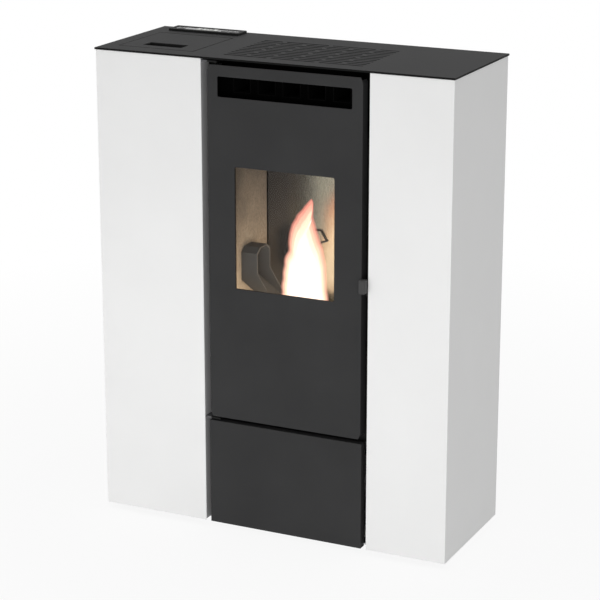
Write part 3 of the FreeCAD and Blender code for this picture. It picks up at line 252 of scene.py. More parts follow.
# the slot walls take a painted shade colour, near black
topPlate = {"coat": "blackCoat", "slotWallShade": (0.003, 0.003, 0.003), "flat": (0.25, 0.6), "seamShadeWidth": 0.0012,
            "seamShadeSoft": 0.2}  # the seam band is painted shade, a dark line along the lid's rim standing for the shadow in its gap, in metres


def slottedPlate(name, node, seamShadeWidth=0.0):  # painted shade: near black on the walls of its slots and along its seam, where the gaps lie in shadow
    look = powderCoats[topPlate["coat"]]
    coat = Coat(name)
    low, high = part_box(node)
    facing = coat.add("ShaderNodeTexCoord").out("Normal")
    upward = coat.add("ShaderNodeSeparateXYZ", {}, {"Vector": facing}).out("Z")
    face = coat.band(upward * upward, *topPlate["flat"])  # 0 on the upright walls, which take the painted shade, 1 on the flat faces
    # a band of painted shadow along the lid's rim, standing for the dark seam
    if seamShadeWidth:
        near, far = seamShadeWidth * (1 - topPlate["seamShadeSoft"]), seamShadeWidth * (1 + topPlate["seamShadeSoft"])
        for axis, key in enumerate("XY"):
            across = coat.along(key)
            face = face * coat.band(across, low[axis] + near, low[axis] + far)
            face = face * (1 - coat.band(across, high[axis] - far, high[axis] - near))
    return coat.spray(look, coat.blend(face, topPlate["slotWallShade"], coat.speckled(look)))


zinc = {"low": (0.40, 0.41, 0.42), "high": (0.62, 0.63, 0.64), "rough": (0.32, 0.5), "metal": 0.9,
        "spangle": 110.0, "haze": 9.0, "share": 0.4, "least": 0.1, "lift": 0.05, "depth": 0.0003}


def zincSheet():
    finish = Finish("zincSheet")
    grain = finish.add("ShaderNodeSeparateColor", {}, {"Color": finish.cells(zinc["spangle"], "Color")}).out()
    haze = finish.noise(zinc["haze"], 4.0)
    tone = grain * zinc["share"] + haze * zinc["share"] + zinc["least"]
    return finish.set(colour=finish.blend(tone, zinc["low"], zinc["high"]), metal=zinc["metal"],
                      rough=between(tone, zinc["rough"]),
                      normal=finish.bump(grain, zinc["lift"], zinc["depth"])).material


brushing = {"lines": 60.0, "detail": 4.0, "grain": 0.6, "haze": 12.0, "lineShare": 0.7, "hazeShare": 0.3,
            "tone": (0.3, 0.7), "depth": 0.0002}

brushedMetals = {  # colour ends, roughness ends, share of metal, how the lines are squeezed, their lift
    "plainSteel": {"low": (0.34, 0.34, 0.345), "high": (0.50, 0.50, 0.505), "rough": (0.28, 0.42),
                   "metal": 1.0, "squeeze": (1.0, 1.0, 30.0), "lift": 0.08},
    "brushedFascia": {"low": (0.36, 0.363, 0.366), "high": (0.52, 0.523, 0.526), "rough": (0.34, 0.46),
                      "metal": 0.7, "squeeze": (1.0, 40.0, 40.0), "lift": 0.08},
    "heatSteel": {"low": (0.136, 0.142, 0.154), "high": (0.218, 0.224, 0.236), "rough": (0.21, 0.30),
                  "metal": 0.9, "squeeze": (40.0, 40.0, 1.0), "lift": 0.03},
}


def brushedMetal(name, tint=None):
    look = brushedMetals[name]
    finish = Finish(name)
    lines = finish.noise(brushing["lines"], brushing["detail"], brushing["grain"], look["squeeze"])
    haze = finish.noise(brushing["haze"])
    tone = finish.band(lines * brushing["lineShare"] + haze * brushing["hazeShare"], *brushing["tone"])
    colour = finish.blend(tone, look["low"], look["high"])
    if tint:
        colour = tint(finish, colour, haze)
    return finish.set(colour=colour, metal=look["metal"], rough=between(tone, look["rough"]),
                      normal=finish.bump(lines, look["lift"], brushing["depth"])).material


backPlate = {  # places across, in metres
    # a painted pool of warm firelight on the plate's right, by the fire
    "fireGlowTint": (0.475, 0.445, 0.34), "fireGlowFrom": -0.058, "fireGlowTo": 0.036, "waver": 0.05,
    # a painted shadow line where the liner boards meet the plate
    "shadeLine": -0.0945, "shadeLineHalf": 0.0008, "shadeLineColour": (0.01, 0.01, 0.01)}


def firelightAndJointShade(finish, steel, haze):  # painted firelight: a pale warm tint on the right by the fire; and painted shade: a near black line along the left edge, where the liner boards meet the plate
    look = backPlate
    across = finish.along("X")
    # painted shade: near black left of the line where the liner boards meet the plate
    clear = finish.band(across, look["shadeLine"] - look["shadeLineHalf"], look["shadeLine"] + look["shadeLineHalf"])
    # painted firelight: pale and warm towards the fire on the right
    firelit = finish.band(across + (haze - 0.5) * look["waver"], look["fireGlowFrom"], look["fireGlowTo"])
    return finish.blend(clear, look["shadeLineColour"], finish.blend(firelit, steel, look["fireGlowTint"]))


castSkin = {"grain": 420.0, "detail": 4.0, "pitting": 0.65, "haze": 30.0, "share": 0.5, "tone": (0.3, 0.7),
            "spread": 0.15, "lift": 0.35, "depth": 0.0006}

castings = {  # colour ends, roughness, share of metal
    "castAluminium": {"low": (0.44, 0.45, 0.46), "high": (0.58, 0.59, 0.60), "rough": 0.42, "metal": 1.0},
    "castIron": {"low": (0.035, 0.034, 0.032), "high": (0.075, 0.072, 0.068), "rough": 0.6, "metal": 0.4},
}


def castMetal(name):
    look = castings[name]
    finish = Finish(name)
    grain = finish.noise(castSkin["grain"], castSkin["detail"], castSkin["pitting"])
    haze = finish.noise(castSkin["haze"])
    tone = finish.band(grain * castSkin["share"] + haze * castSkin["share"], *castSkin["tone"])
    return finish.set(colour=finish.blend(tone, look["low"], look["high"]), metal=look["metal"],
                      rough=look["rough"] + haze * castSkin["spread"],
                      normal=finish.bump(grain, castSkin["lift"], castSkin["depth"])).material


fireBoard = {"pale": (0.60, 0.515, 0.41), "dark": (0.39, 0.335, 0.27), "tone": (0.32, 0.68), "grain": 160.0,
             "fleck": (0.68, 0.61, 0.48), "flake": 260.0, "flakeEdge": (0.10, 0.28), "fleckShare": 0.55,
             "sootAndShade": (0.15, 0.138, 0.125), "sootAndShadeFrom": 0.58, "sootAndShadeTo": 0.80, "sootShare": 0.8,
             "smoke": 14.0, "smokeWaver": 0.3, "rough": 0.82, "spread": 0.12, "specular": 0.2,
             "flakeLift": 0.5, "lift": 0.4, "depth": 0.0008}  # heights of the soot in metres


def mineralBoard():  # pressed board with pale flecks, smoked towards the top
    look = fireBoard
    finish = Finish("mineralBoard")
    grain = finish.noise(look["grain"], 5.0, 0.7)
    flake = finish.cells(look["flake"], "Distance")
    body = finish.blend(finish.band(grain, *look["tone"]), look["dark"], look["pale"])
    fleck = (1 - finish.band(flake, *look["flakeEdge"])) * look["fleckShare"]
    waver = (finish.noise(look["smoke"], 4.0) - 0.5) * look["smokeWaver"]
    smoke = finish.band(finish.along("Z") + waver, look["sootAndShadeFrom"], look["sootAndShadeTo"]) * look["sootShare"]
    relief = grain + flake * look["flakeLift"]
    return finish.set(colour=finish.blend(smoke, finish.blend(fleck, body, look["fleck"]), look["sootAndShade"]),
                      rough=look["rough"] + grain * look["spread"], specular=look["specular"],
                      normal=finish.bump(relief, look["lift"], look["depth"])).material


pane = {"colour": (0.05, 0.045, 0.04), "ior": 1.5, "rough": 0.03, "hazeRough": 0.05, "haze": 22.0,
        "cover": 0.05, "edgeCover": 0.6, "hazeCover": 0.02}


def paneGlass():  # thin clear ceramic glass: the gloss comes from the shader
    finish = Finish("paneGlass")
    edge = finish.add("ShaderNodeFresnel", {}, {"IOR": pane["ior"]}).out("Fac")
    haze = finish.noise(pane["haze"], 4.0)
    return finish.set(colour=pane["colour"], rough=pane["rough"] + haze * pane["hazeRough"], ior=pane["ior"],
                      alpha=pane["cover"] + edge * pane["edgeCover"] + haze * pane["hazeCover"]).material


rope = {"low": (0.02, 0.02, 0.02), "high": (0.085, 0.083, 0.08), "strands": 260.0, "stray": 1.2, "rough": 0.9,
        "specular": 0.15, "lift": 0.6, "depth": 0.001, "mirrored": (-1.0, 1.0, 1.0)}


def wovenRope():  # two sets of slanting strands that cross
    finish = Finish("wovenRope")
    strands = []
    for stretch in (None, rope["mirrored"]):
        strands.append(finish.add("ShaderNodeTexWave", {"bands_direction": "DIAGONAL"},
                                  {"Vector": finish.place(stretch), "Scale": rope["strands"],
                                   "Distortion": rope["stray"]}).out("Fac"))
    weave = strands[0] * strands[1]
    return finish.set(colour=finish.blend(weave, rope["low"], rope["high"]), rough=rope["rough"],
                      specular=rope["specular"],
                      normal=finish.bump(weave, rope["lift"], rope["depth"])).material


moulding = {"grain": 1100.0, "grit": 0.6, "haze": 25.0, "spread": 0.1, "lift": 0.12, "depth": 0.0002}

plastics = {  # colour ends, roughness, gloss
    "blackPlastic": {"low": (0.008, 0.008, 0.008), "high": (0.016, 0.016, 0.016), "rough": 0.5,
                     "specular": 0.15},
    "keyPlastic": {"low": (0.30, 0.30, 0.30), "high": (0.38, 0.38, 0.38), "rough": 0.4, "specular": 0.4},
    "knobPlastic": {"low": (0.034, 0.034, 0.034), "high": (0.05, 0.05, 0.05), "rough": 0.45, "specular": 0.3},
}


def mouldedPlastic(name):
    look = plastics[name]
    finish = Finish(name)
    grain = finish.noise(moulding["grain"], 3.0, moulding["grit"])
    haze = finish.noise(moulding["haze"], 2.0)
    return finish.set(colour=finish.blend(haze, look["low"], look["high"]), specular=look["specular"],
                      rough=look["rough"] + grain * moulding["spread"],
                      normal=finish.bump(grain, moulding["lift"], moulding["depth"])).material


litDisplay = {"low": (0.30, 0.315, 0.28), "high": (0.40, 0.41, 0.36), "haze": 60.0, "rough": 0.14,
              "spread": 0.05, "coat": 0.6, "glow": 0.2}


def displayWindow():  # pale backlit display behind gloss plastic
    look = litDisplay
    finish = Finish("displayWindow")
    haze = finish.noise(look["haze"], 2.0)
    tone = finish.blend(haze, look["low"], look["high"])
    return finish.set(colour=tone, rough=look["rough"] + haze * look["spread"], coat=look["coat"], glow=tone,
                      glowStrength=look["glow"]).material


finishes = {
    "white_sheet": powderCoat("whiteCoat"),
    "black_sheet": powderCoat("blackCoat"),
    "slotted_plate": slottedPlate("slottedPlate", "top_plate"),
    "seamed_lid": slottedPlate("seamedLid", "hopper_lid", topPlate["seamShadeWidth"]),
    "black_steel": powderCoat("stoveBlack"),
    "duct_black": powderCoat("ductBlack"),
    "shaded_bulkhead": shadedBulkhead(),
    "partition_grey": powderCoat("partitionGrey"),
    "split_bracket": splitCoat("hinge_brackets"),
    "split_partition": splitCoat("right_partition"),
    "chute_grey": powderCoat("chuteGrey"),
    "zinc_sheet": zincSheet(),
    "steel": brushedMetal("plainSteel"),
    "silver_fascia": brushedMetal("brushedFascia"),
    "heat_steel": brushedMetal("heatSteel", firelightAndJointShade),
    "aluminium": castMetal("castAluminium"),
    "cast_iron": castMetal("castIron"),
    "fire_board": mineralBoard(),
    "clear_glass": paneGlass(),
    "seal_rope": wovenRope(),
    "black_plastic": mouldedPlastic("blackPlastic"),
    "key_plastic": mouldedPlastic("keyPlastic"),
    "knob_plastic": mouldedPlastic("knobPlastic"),
    "display": displayWindow(),
}
print("finishes made:", len(finishes))

ownFinish = {  # pieces whose finish isn't their slot's
    "back_liner": "heat_steel", "bulkhead": "shaded_bulkhead", "heat_exchanger": "duct_black",
    "left_partition": "partition_grey", "right_partition": "split_partition", "pellet_chute": "chute_grey",
    "hinge_brackets": "split_bracket", "latch_knob": "knob_plastic", "top_plate": "slotted_plate",
    "hopper_lid": "seamed_lid", "panel_key_1": "key_plastic", "panel_key_2": "key_plastic",
    "panel_key_3": "key_plastic",
}
slotOf = {part["node"]: part["material_slot"] for part in frame["record"]["subparts"]}

brokenEdges = {  # radius of the bent or moulded edge in metres
    "left_casing": 0.0012, "right_casing": 0.0012, "top_plate": 0.0006, "door_panel": 0.0010,
    "lower_panel": 0.0010, "hopper_lid": 0.0005, "lid_cup": 0.0005, "panel_housing": 0.0012,
    "panel_fascia": 0.0003, "panel_display": 0.0002, "panel_key_1": 0.0004, "panel_key_2": 0.0004,
    "panel_key_3": 0.0004, "latch_knob": 0.0008, "pellet_chute": 0.0006, "door_frame": 0.0008,
    "burn_pot": 0.0010, "ash_pan": 0.0006, "flue_spigot": 0.0006, "air_intake": 0.0005,
    "power_inlet": 0.0005, "power_rocker": 0.0005, "levelling_feet": 0.0008, "rear_panel": 0.0003,
    "side_liners": 0.0008, "back_liner": 0.0006, "firebox_shell": 0.0006, "lid_hinge": 0.0003,
    "hinge_brackets": 0.0005, "latch_housing": 0.0006, "door_glass": 0.0004,
}
edgeWork = {"weld": 0.00001, "flat": 0.6, "sharp": 40, "steps": 2, "faceWeight": 100}  # angles in degrees


def dressNode(name):
    shown = nodes[name]
    shown.data.materials.clear()
    shown.data.materials.append(finishes[ownFinish.get(name, slotOf[name])])
    if name in brokenEdges:
        weld = shown.modifiers.new("joinCorners", "WELD")
        weld.merge_threshold = edgeWork["weld"]
        flat = shown.modifiers.new("wholeFaces", "DECIMATE")
        flat.decimate_type = "DISSOLVE"
        flat.angle_limit = math.radians(edgeWork["flat"])
        edge = shown.modifiers.new("breakEdges", "BEVEL")
        edge.width = brokenEdges[name]
        edge.segments = edgeWork["steps"]
        edge.limit_method = "ANGLE"
        edge.angle_limit = math.radians(edgeWork["sharp"])
        edge.use_clamp_overlap = True
        even = shown.modifiers.new("evenShading", "WEIGHTED_NORMAL")
        even.weight = edgeWork["faceWeight"]
        even.keep_sharp = True


for nodeName in sorted(nodes):
    dressNode(nodeName)
print("stove dressed,", len(brokenEdges), "pieces with broken edges")


def finishPiece(name, mesh, body, materials, smooth=False):
    made = bpy.data.meshes.new(name)
    bmesh.ops.recalc_face_normals(mesh, faces=mesh.faces)
    mesh.to_mesh(made)
    mesh.free()
    for face in made.polygons:
        face.use_smooth = smooth
    for material in materials:
        made.materials.append(material)
    piece = bpy.data.objects.new(name, made)
    scene.collection.objects.link(piece)
    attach(piece, body)
    return piece


def addBar(mesh, low, high):  # a block between two corners
    corners = [mesh.verts.new((x, y, z)) for z in (low[2], high[2]) for y in (low[1], high[1])
               for x in (low[0], high[0])]
    for face in ((0, 1, 3, 2), (4, 5, 7, 6), (0, 1, 5, 4), (2, 3, 7, 6), (0, 2, 6, 4), (1, 3, 7, 5)):
        mesh.faces.new([corners[i] for i in face])


flame = {"seed": 7, "sides": 30, "rings": 60, "middle": (0.036, -0.05), "depth": 0.68,
         "profile": [  # height, lean across, half width
             (0.462, 0.003, 0.000), (0.466, 0.003, 0.024), (0.482, 0.002, 0.038), (0.508, 0.000, 0.053),
             (0.540, -0.002, 0.051), (0.574, -0.003, 0.0475), (0.614, -0.001, 0.0375),
             (0.640, -0.003, 0.0315), (0.664, -0.004, 0.0265), (0.684, -0.001, 0.0185),
             (0.702, 0.007, 0.0110), (0.716, 0.012, 0.0060), (0.723, 0.0135, 0.000)],
         "ease": 0.4, "slim": 0.02, "least": 0.0004, "insetRise": 0.3,  # shells close up where it is slim
         "phase": (0, 6.3), "swirls": 5, "swirlTimes": (1, 4), "swirlSize": (0.02, 0.045), "swirlRise": 9.0,
         "tongues": 5, "tongueTimes": (24, 62), "tongueSize": (0.012, 0.026), "ragged": (0.55, 0.45),
         "tipFrom": 0.56, "tipTo": 0.71, "lick": 38.0, "lickStretch": (1.0, 1.0, 0.35), "lickShare": 0.5,
         "hot": (0.1, 0.95), "coverLow": 0.8, "coverLick": 0.4, "coverFade": 0.15,
         "layers": [  # inset, share of the height, cover, strength, colour low down and at the tip
             (-0.0010, 1.005, 0.08, 2.2, (1.0, 0.44, 0.34), (1.0, 0.30, 0.24)),
             (0.0012, 1.000, 0.13, 2.4, (1.0, 0.52, 0.38), (1.0, 0.34, 0.26)),
             (0.0036, 0.985, 0.20, 2.4, (1.0, 0.64, 0.45), (1.0, 0.40, 0.30)),
             (0.0070, 0.955, 0.26, 2.3, (1.0, 0.76, 0.50), (1.0, 0.46, 0.32)),
             (0.0110, 0.900, 0.46, 2.3, (1.0, 0.93, 0.78), (1.0, 0.70, 0.48)),
             (0.0170, 0.820, 0.90, 2.1, (1.0, 1.00, 0.97), (1.0, 0.94, 0.80))]}


def flameRow(up):  # lean and half width at a share of the height, eased between the profile's rows
    rows = flame["profile"]
    z = rows[0][0] + (rows[-1][0] - rows[0][0]) * up
    for low, high in zip(rows, rows[1:]):
        if z <= high[0]:
            break
    part = (z - low[0]) / (high[0] - low[0])
    ease = part * part * (3 - 2 * part) * flame["ease"] + part * (1 - flame["ease"])
    return low[1] + (high[1] - low[1]) * ease, low[2] + (high[2] - low[2]) * ease


def flameShape(mesh, inset, rise, index):  # one shell of flame, wide low down and drawn out to its tip
    rng = random.Random(flame["seed"])  # the same swirl in each layer, so they nest
    swirl = [(rng.uniform(*flame["phase"]), rng.randint(*flame["swirlTimes"]),
              rng.uniform(*flame["swirlSize"])) for i in range(flame["swirls"])]
    tongues = [(rng.uniform(*flame["phase"]), rng.uniform(*flame["tongueTimes"]),
                rng.uniform(*flame["tongueSize"])) for i in range(flame["tongues"])]
    x0, y0 = flame["middle"]
    bottom, top = flame["profile"][0][0], flame["profile"][-1][0]
    foot = bottom + inset * flame["insetRise"]
    count = flame["sides"]
    rows = []
    for ring in range(1, flame["rings"]):
        up = ring / flame["rings"]
        lean, half = flameRow(up)
        half = max(half - inset * min(1.0, half / flame["slim"]), flame["least"])
        row = []
        for side in range(count):
            turn = side / count * fullTurn
            lick = 1 + sum(size * math.sin(times * turn + phase + up * flame["swirlRise"])
                           for phase, times, size in swirl)
            ragged = flame["ragged"][0] - flame["ragged"][1] * math.cos(turn)  # the left edge breaks up most
            lick += ragged * sum(size * math.sin(times * up + phase + turn) for phase, times, size in tongues)
            row.append(mesh.verts.new((x0 + lean + math.cos(turn) * half * lick,
                                       y0 + math.sin(turn) * half * flame["depth"] * lick,
                                       foot + (top - bottom) * rise * up)))
        rows.append(row)
    lowest = mesh.verts.new((x0, y0, foot))
    tip = mesh.verts.new((x0 + flame["profile"][-1][1], y0, foot + (top - bottom) * rise))
    faces = []
    for side in range(count):
        after = (side + 1) % count
        faces.append(mesh.faces.new((lowest, rows[0][after], rows[0][side])))
        faces.append(mesh.faces.new((tip, rows[-1][side], rows[-1][after])))
        for low, high in zip(rows, rows[1:]):
            faces.append(mesh.faces.new((low[side], low[after], high[after], high[side])))
    for face in faces:
        face.material_index = index


def flameFinish(index, cover, strength, low, high):  # a see-through glow that reddens towards its tip
    finish = Finish("flame%d" % index)
    up = finish.band(finish.along("Z"), flame["tipFrom"], flame["tipTo"])
    lick = finish.noise(flame["lick"], stretch=flame["lickStretch"])
    hot = finish.band(up + (lick - 0.5) * flame["lickShare"], *flame["hot"])
    veil = flame["coverLow"] + lick * flame["coverLick"] - up * flame["coverFade"]
    finish.set(colour=(0.0, 0.0, 0.0), rough=0.9, specular=0.0, glow=finish.blend(hot, low, high),
               glowStrength=strength, alpha=cover * veil)
    finish.material.cycles.emission_sampling = "NONE"  # the fire's lamps light the firebox instead
    return finish.material


def makeFlame():  # shells inside each other, thin outside and close to solid at the heart
    mesh = bmesh.new()
    shells = []
    for index, (inset, rise, cover, strength, low, high) in enumerate(flame["layers"]):
        flameShape(mesh, inset, rise, index)
        shells.append(flameFinish(index, cover, strength, low, high))
    burning = finishPiece("flame", mesh, "pot", shells, True)
    burning.visible_shadow = False  # a flame throws no shade
    burning.visible_diffuse = False


makeFlame()
print("flame made,", len(flame["layers"]), "shells")

embers = {"seed": 3, "count": 110, "radius": 0.003, "length": (0.009, 0.018), "taper": (0.8, 1.0), "sides": 9,
          "turn": (0, 6.3), "tilt": (1.1, 1.9), "low": (0.001, -0.075, 0.419), "high": (0.067, -0.025, 0.462),
          "char": (0.10, 0.07, 0.045), "wood": (0.32, 0.23, 0.14), "mottle": 120.0, "rough": 0.85,
          "heatFrom": 0.41, "heatTo": 0.47, "heatShare": 0.35, "glowing": (0.45, 0.9), "glow": 1.2,
          "stops": [(0.0, (0.0, 0.0, 0.0)), (0.4, (0.5, 0.06, 0.01)), (1.0, (1.0, 0.45, 0.12))],
          "lift": 0.4, "depth": 0.001}


def pelletFinish():
    look = embers
    finish = Finish("glowingPellet")
    mottle = finish.noise(look["mottle"])
    upper = finish.band(finish.along("Z"), look["heatFrom"], look["heatTo"])
    hot = finish.band(mottle + upper * look["heatShare"], *look["glowing"])
    finish.set(colour=finish.blend(mottle, look["char"], look["wood"]), rough=look["rough"],
               glow=finish.ramp(hot, look["stops"]), glowStrength=look["glow"],
               normal=finish.bump(mottle, look["lift"], look["depth"]))
    finish.material.cycles.emission_sampling = "NONE"
    return finish.material


def pelletHeap():  # short rods lying at all angles, glowing where they burn
    look = embers
    rng = random.Random(look["seed"])
    mesh = bmesh.new()
    for i in range(look["count"]):
        spot = Vector([rng.uniform(a, b) for a, b in zip(look["low"], look["high"])])
        long = rng.uniform(*look["length"])
        turn = (Matrix.Rotation(rng.uniform(*look["turn"]), 4, "Z")
                @ Matrix.Rotation(rng.uniform(*look["tilt"]), 4, "X"))
        bmesh.ops.create_cone(mesh, cap_ends=True, segments=look["sides"], radius1=look["radius"],
                              radius2=look["radius"] * rng.uniform(*look["taper"]), depth=long,
                              matrix=Matrix.Translation(spot) @ turn)
    finishPiece("burningPellets", mesh, "pot", [pelletFinish()])


pelletHeap()
print("pellets laid:", embers["count"])

rearScrews = {"face": 0.148, "head": 0.0042, "proud": 0.0018, "sides": 20,
              "dome": [(1.0, 0.0), (1.0, 0.45), (0.86, 0.8), (0.55, 1.0)],  # shares of the width and height
              "arm": (0.42, 0.9), "corner": (0.2, 0.95), "sidesPerArm": 5, "armSides": 2, "bottom": 0.3,
              "spots": [(x, z) for x in (-0.388, 0.388) for z in (0.03, 0.27, 0.51, 0.75, 0.99)]
              + [(x, 1.004) for x in (-0.25, -0.08, 0.09, 0.26)] + [(x, 0.022) for x in (-0.2, 0.0, 0.24)]}


def screwHeads():  # domed heads with a cross recess
    look = rearScrews
    count = look["sides"]
    mesh = bmesh.new()

    def point(x, z, side, wide, tall):
        turn = side / count * fullTurn
        return mesh.verts.new((x + math.cos(turn) * look["head"] * wide, look["face"] + look["proud"] * tall,
                               z + math.sin(turn) * look["head"] * wide))

    for x, z in look["spots"]:
        rows = [[point(x, z, i, wide, tall) for i in range(count)] for wide, tall in look["dome"]]
        rim = ["arm" if i % look["sidesPerArm"] < look["armSides"] else "corner" for i in range(count)]
        rows.append([point(x, z, i, *look[rim[i]]) for i in range(count)])  # the edge of the recess
        low = mesh.verts.new((x, look["face"] + look["proud"] * look["bottom"], z))
        back = mesh.verts.new((x, look["face"], z))
        for i in range(count):
            after = (i + 1) % count
            mesh.faces.new((back, rows[0][after], rows[0][i]))
            for first, second in zip(rows, rows[1:]):
                mesh.faces.new((first[i], first[after], second[after], second[i]))
            mesh.faces.new((rows[-1][i], rows[-1][after], low))
    finishPiece("rearScrews", mesh, "stove", [finishes["steel"]])


screwHeads()
print("rear screws:", len(rearScrews["spots"]))

digits = {"text": "2145", "tall": 0.0085, "wide": 0.0046, "step": 0.0078, "stroke": 0.0009, "lift": 0.0002,
          "barShare": 0.42, "spread": 0.0012, "colonHalf": 0.0005, "colonUp": 0.0018,
          "bars": {"2": "abged", "1": "bc", "4": "fgbc", "5": "afgcd"}}


def displayDigits():  # plain seven-bar figures of a clock
    look = digits
    low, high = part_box("panel_display")
    top = high[2]
    middle = (low + high) / 2
    half = look["tall"] / 2
    bars = {"a": (0, half, True), "g": (0, 0, True), "d": (0, -half, True), "f": (-1, half / 2, False),
            "b": (1, half / 2, False), "e": (-1, -half / 2, False), "c": (1, -half / 2, False)}
    mesh = bmesh.new()
    start = middle[0] - (len(look["text"]) - 1) / 2 * look["step"]
    for i, figure in enumerate(look["text"]):
        apart = -look["spread"] if i < len(look["text"]) / 2 else look["spread"]  # room for the colon
        x = start + i * look["step"] + apart
        for bar in look["bars"][figure]:
            across, up, flat = bars[bar]
            cx, cy = x + across * look["wide"] / 2, middle[1] + up
            long = (look["wide"] if flat else half) * look["barShare"]
            dx, dy = (long, look["stroke"] / 2) if flat else (look["stroke"] / 2, long)
            addBar(mesh, (cx - dx, cy - dy, top), (cx + dx, cy + dy, top + look["lift"]))
    dot = look["colonHalf"]
    for up in (-look["colonUp"], look["colonUp"]):
        addBar(mesh, (middle[0] - dot, middle[1] + up - dot, top),
               (middle[0] + dot, middle[1] + up + dot, top + look["lift"]))
    finishPiece("displayDigits", mesh, "stove", [finishes["black_plastic"]])


displayDigits()

keyMarks = {"stroke": 0.0008, "reach": 0.0028, "lift": 0.0001,
            "ringSteps": 30, "ringFrom": 0.6, "ringSweep": 5.08,  # radians
            "barFrom": 0.35, "barTo": 1.2}  # shares of the reach


def powerRing(mesh, x, y, top):  # a flat ring, open towards the back
    look = keyMarks
    count = look["ringSteps"]
    turns = [look["ringFrom"] + look["ringSweep"] * i / count for i in range(count + 1)]
    rows = []
    for level in (top, top + look["lift"]):
        for radius in (look["reach"] - look["stroke"], look["reach"]):
            rows.append([mesh.verts.new((x + math.sin(turn) * radius, y + math.cos(turn) * radius, level))
                         for turn in turns])
    for i in range(count):
        for first, second in ((0, 1), (1, 3), (3, 2), (2, 0)):
            mesh.faces.new((rows[first][i], rows[first][i + 1], rows[second][i + 1], rows[second][i]))
    for i in (0, count):
        mesh.faces.new((rows[0][i], rows[1][i], rows[3][i], rows[2][i]))


def keyMark(node, body, kind):  # a ring with a bar, a minus or a plus on the key's top
    low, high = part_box(node)
    x, y, top = (low[0] + high[0]) / 2, (low[1] + high[1]) / 2, high[2]
    half, reach, upper = keyMarks["stroke"] / 2, keyMarks["reach"], top + keyMarks["lift"]
    mesh = bmesh.new()
    if kind == "power":
        powerRing(mesh, x, y, top)
        addBar(mesh, (x - half, y + reach * keyMarks["barFrom"], top),
               (x + half, y + reach * keyMarks["barTo"], upper))
    else:
        addBar(mesh, (x - reach, y - half, top), (x + reach, y + half, upper))
    if kind == "plus":
        addBar(mesh, (x - half, y - reach, top), (x + half, y - half, upper))
        addBar(mesh, (x - half, y + half, top), (x + half, y + reach, upper))
    finishPiece("mark_" + node, mesh, body, [finishes["black_plastic"]])


keyMark("panel_key_1", "key_one", "power")
keyMark("panel_key_2", "key_two", "minus")
keyMark("panel_key_3", "key_three", "plus")
print("control panel marked")

floor = {"half": 30.0, "colour": (0.86, 0.86, 0.86), "rough": 0.9, "ownLight": 0.9, "fadeFrom": 0.6,
         "fadeTo": 2.2}  # metres from the middle


def paleFloor():
    mesh = bmesh.new()
    bmesh.ops.create_grid(mesh, x_segments=8, y_segments=8, size=floor["half"])
    made = bpy.data.meshes.new("paleFloor")
    mesh.to_mesh(made)
    mesh.free()
    ground = bpy.data.objects.new("paleFloor", made)
    scene.collection.objects.link(ground)
    finish = Finish("paleFloor").set(colour=floor["colour"], rough=floor["rough"], specular=0.0)
    away = finish.add("ShaderNodeVectorMath", {"operation": "LENGTH"}, {0: finish.place()}).out("Value")
    far = finish.band(away, floor["fadeFrom"], floor["fadeTo"])  # plain white once past the stove's shadow
    white = finish.add("ShaderNodeEmission", {}, {"Color": (1.0, 1.0, 1.0), "Strength": 1.0})
    mixed = finish.add("ShaderNodeMixShader", {},
                       {0: finish.seenRays() * (floor["ownLight"] + far * (1.0 - floor["ownLight"])),
                        1: Wire(finish, finish.shader.outputs[0]), 2: white.out()})
    finish.feed(finish.tree.nodes["Material Output"].inputs["Surface"], mixed.out())
    made.materials.append(finish.material)


studio = {"sky": 0.54, "keyPlace": (1.25, -3.5, 0.75), "keyAim": (0.0, 0.0, 0.3), "keyPower": 34.0,
          "keySize": 1.4, "lowPlace": (-0.5, -1.4, 0.14), "lowPower": 6.1, "lowSize": (2.4, 0.34),
          "fireColour": (1.0, 0.81, 0.61), "fireSize": 0.045,
          "fires": [((0.055, -0.055, 0.59), 0.50), ((-0.034, -0.097, 0.476), 0.45)]}  # place and power


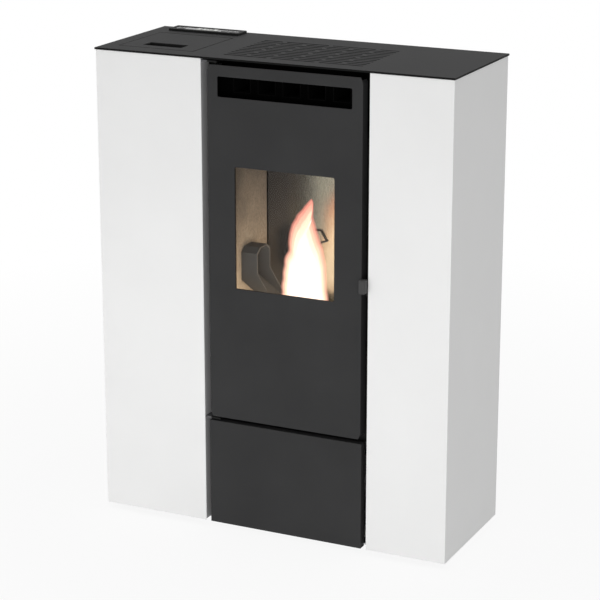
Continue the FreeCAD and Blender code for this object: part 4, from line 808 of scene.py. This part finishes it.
def addLamp(name, kind, place, power):
    lamp = bpy.data.objects.new(name, bpy.data.lights.new(name, kind))
    lamp.data.energy = power
    lamp.location = place
    scene.collection.objects.link(lamp)
    return lamp


def lookAlong(direction):  # the turn of a lamp or camera that looks that way
    return direction.to_track_quat("-Z", "Y").to_euler()


def studioLight():
    world = bpy.data.worlds.new("studioWorld")
    world.use_nodes = True
    scene.world = world
    book = Book(world.node_tree)
    backdrop = world.node_tree.nodes["Background"]
    book.feed(backdrop.inputs["Color"], (1.0, 1.0, 1.0))
    book.feed(backdrop.inputs["Strength"], studio["sky"] + book.seenRays() * (1.0 - studio["sky"]))
    key = addLamp("keyLight", "AREA", studio["keyPlace"], studio["keyPower"])
    key.data.size = studio["keySize"]
    key.rotation_euler = lookAlong(Vector(studio["keyAim"]) - Vector(studio["keyPlace"]))
    low = addLamp("lowLight", "AREA", studio["lowPlace"], studio["lowPower"])
    low.data.shape = "RECTANGLE"
    low.data.size, low.data.size_y = studio["lowSize"]
    low.visible_glossy = False  # so the pane doesn't mirror it
    low.rotation_euler = (math.radians(90), 0.0, 0.0)
    for place, power in studio["fires"]:
        glow = addLamp("fireGlow", "POINT", place, power)
        glow.data.color = studio["fireColour"]
        glow.data.shadow_soft_size = studio["fireSize"]


view = {"azimuth": 25.5, "elevation": 16.65, "distance": 4.35, "target": (0.07, -0.148, 0.535), "lens": 127.9,
        "sensor": 36.0}


def photoCamera():
    turn, tilt = math.radians(view["azimuth"]), math.radians(view["elevation"])
    away = Vector((math.sin(turn) * math.cos(tilt), -math.cos(turn) * math.cos(tilt), math.sin(tilt)))
    camera = bpy.data.objects.new("photoCamera", bpy.data.cameras.new("photoCamera"))
    camera.data.lens = view["lens"]
    camera.data.sensor_width = view["sensor"]
    camera.location = Vector(view["target"]) + away * view["distance"]
    camera.rotation_euler = lookAlong(-away)
    scene.collection.objects.link(camera)
    scene.camera = camera


paleFloor()
studioLight()
photoCamera()
scene.view_settings.view_transform = "Standard"
print("floor, light and camera set")
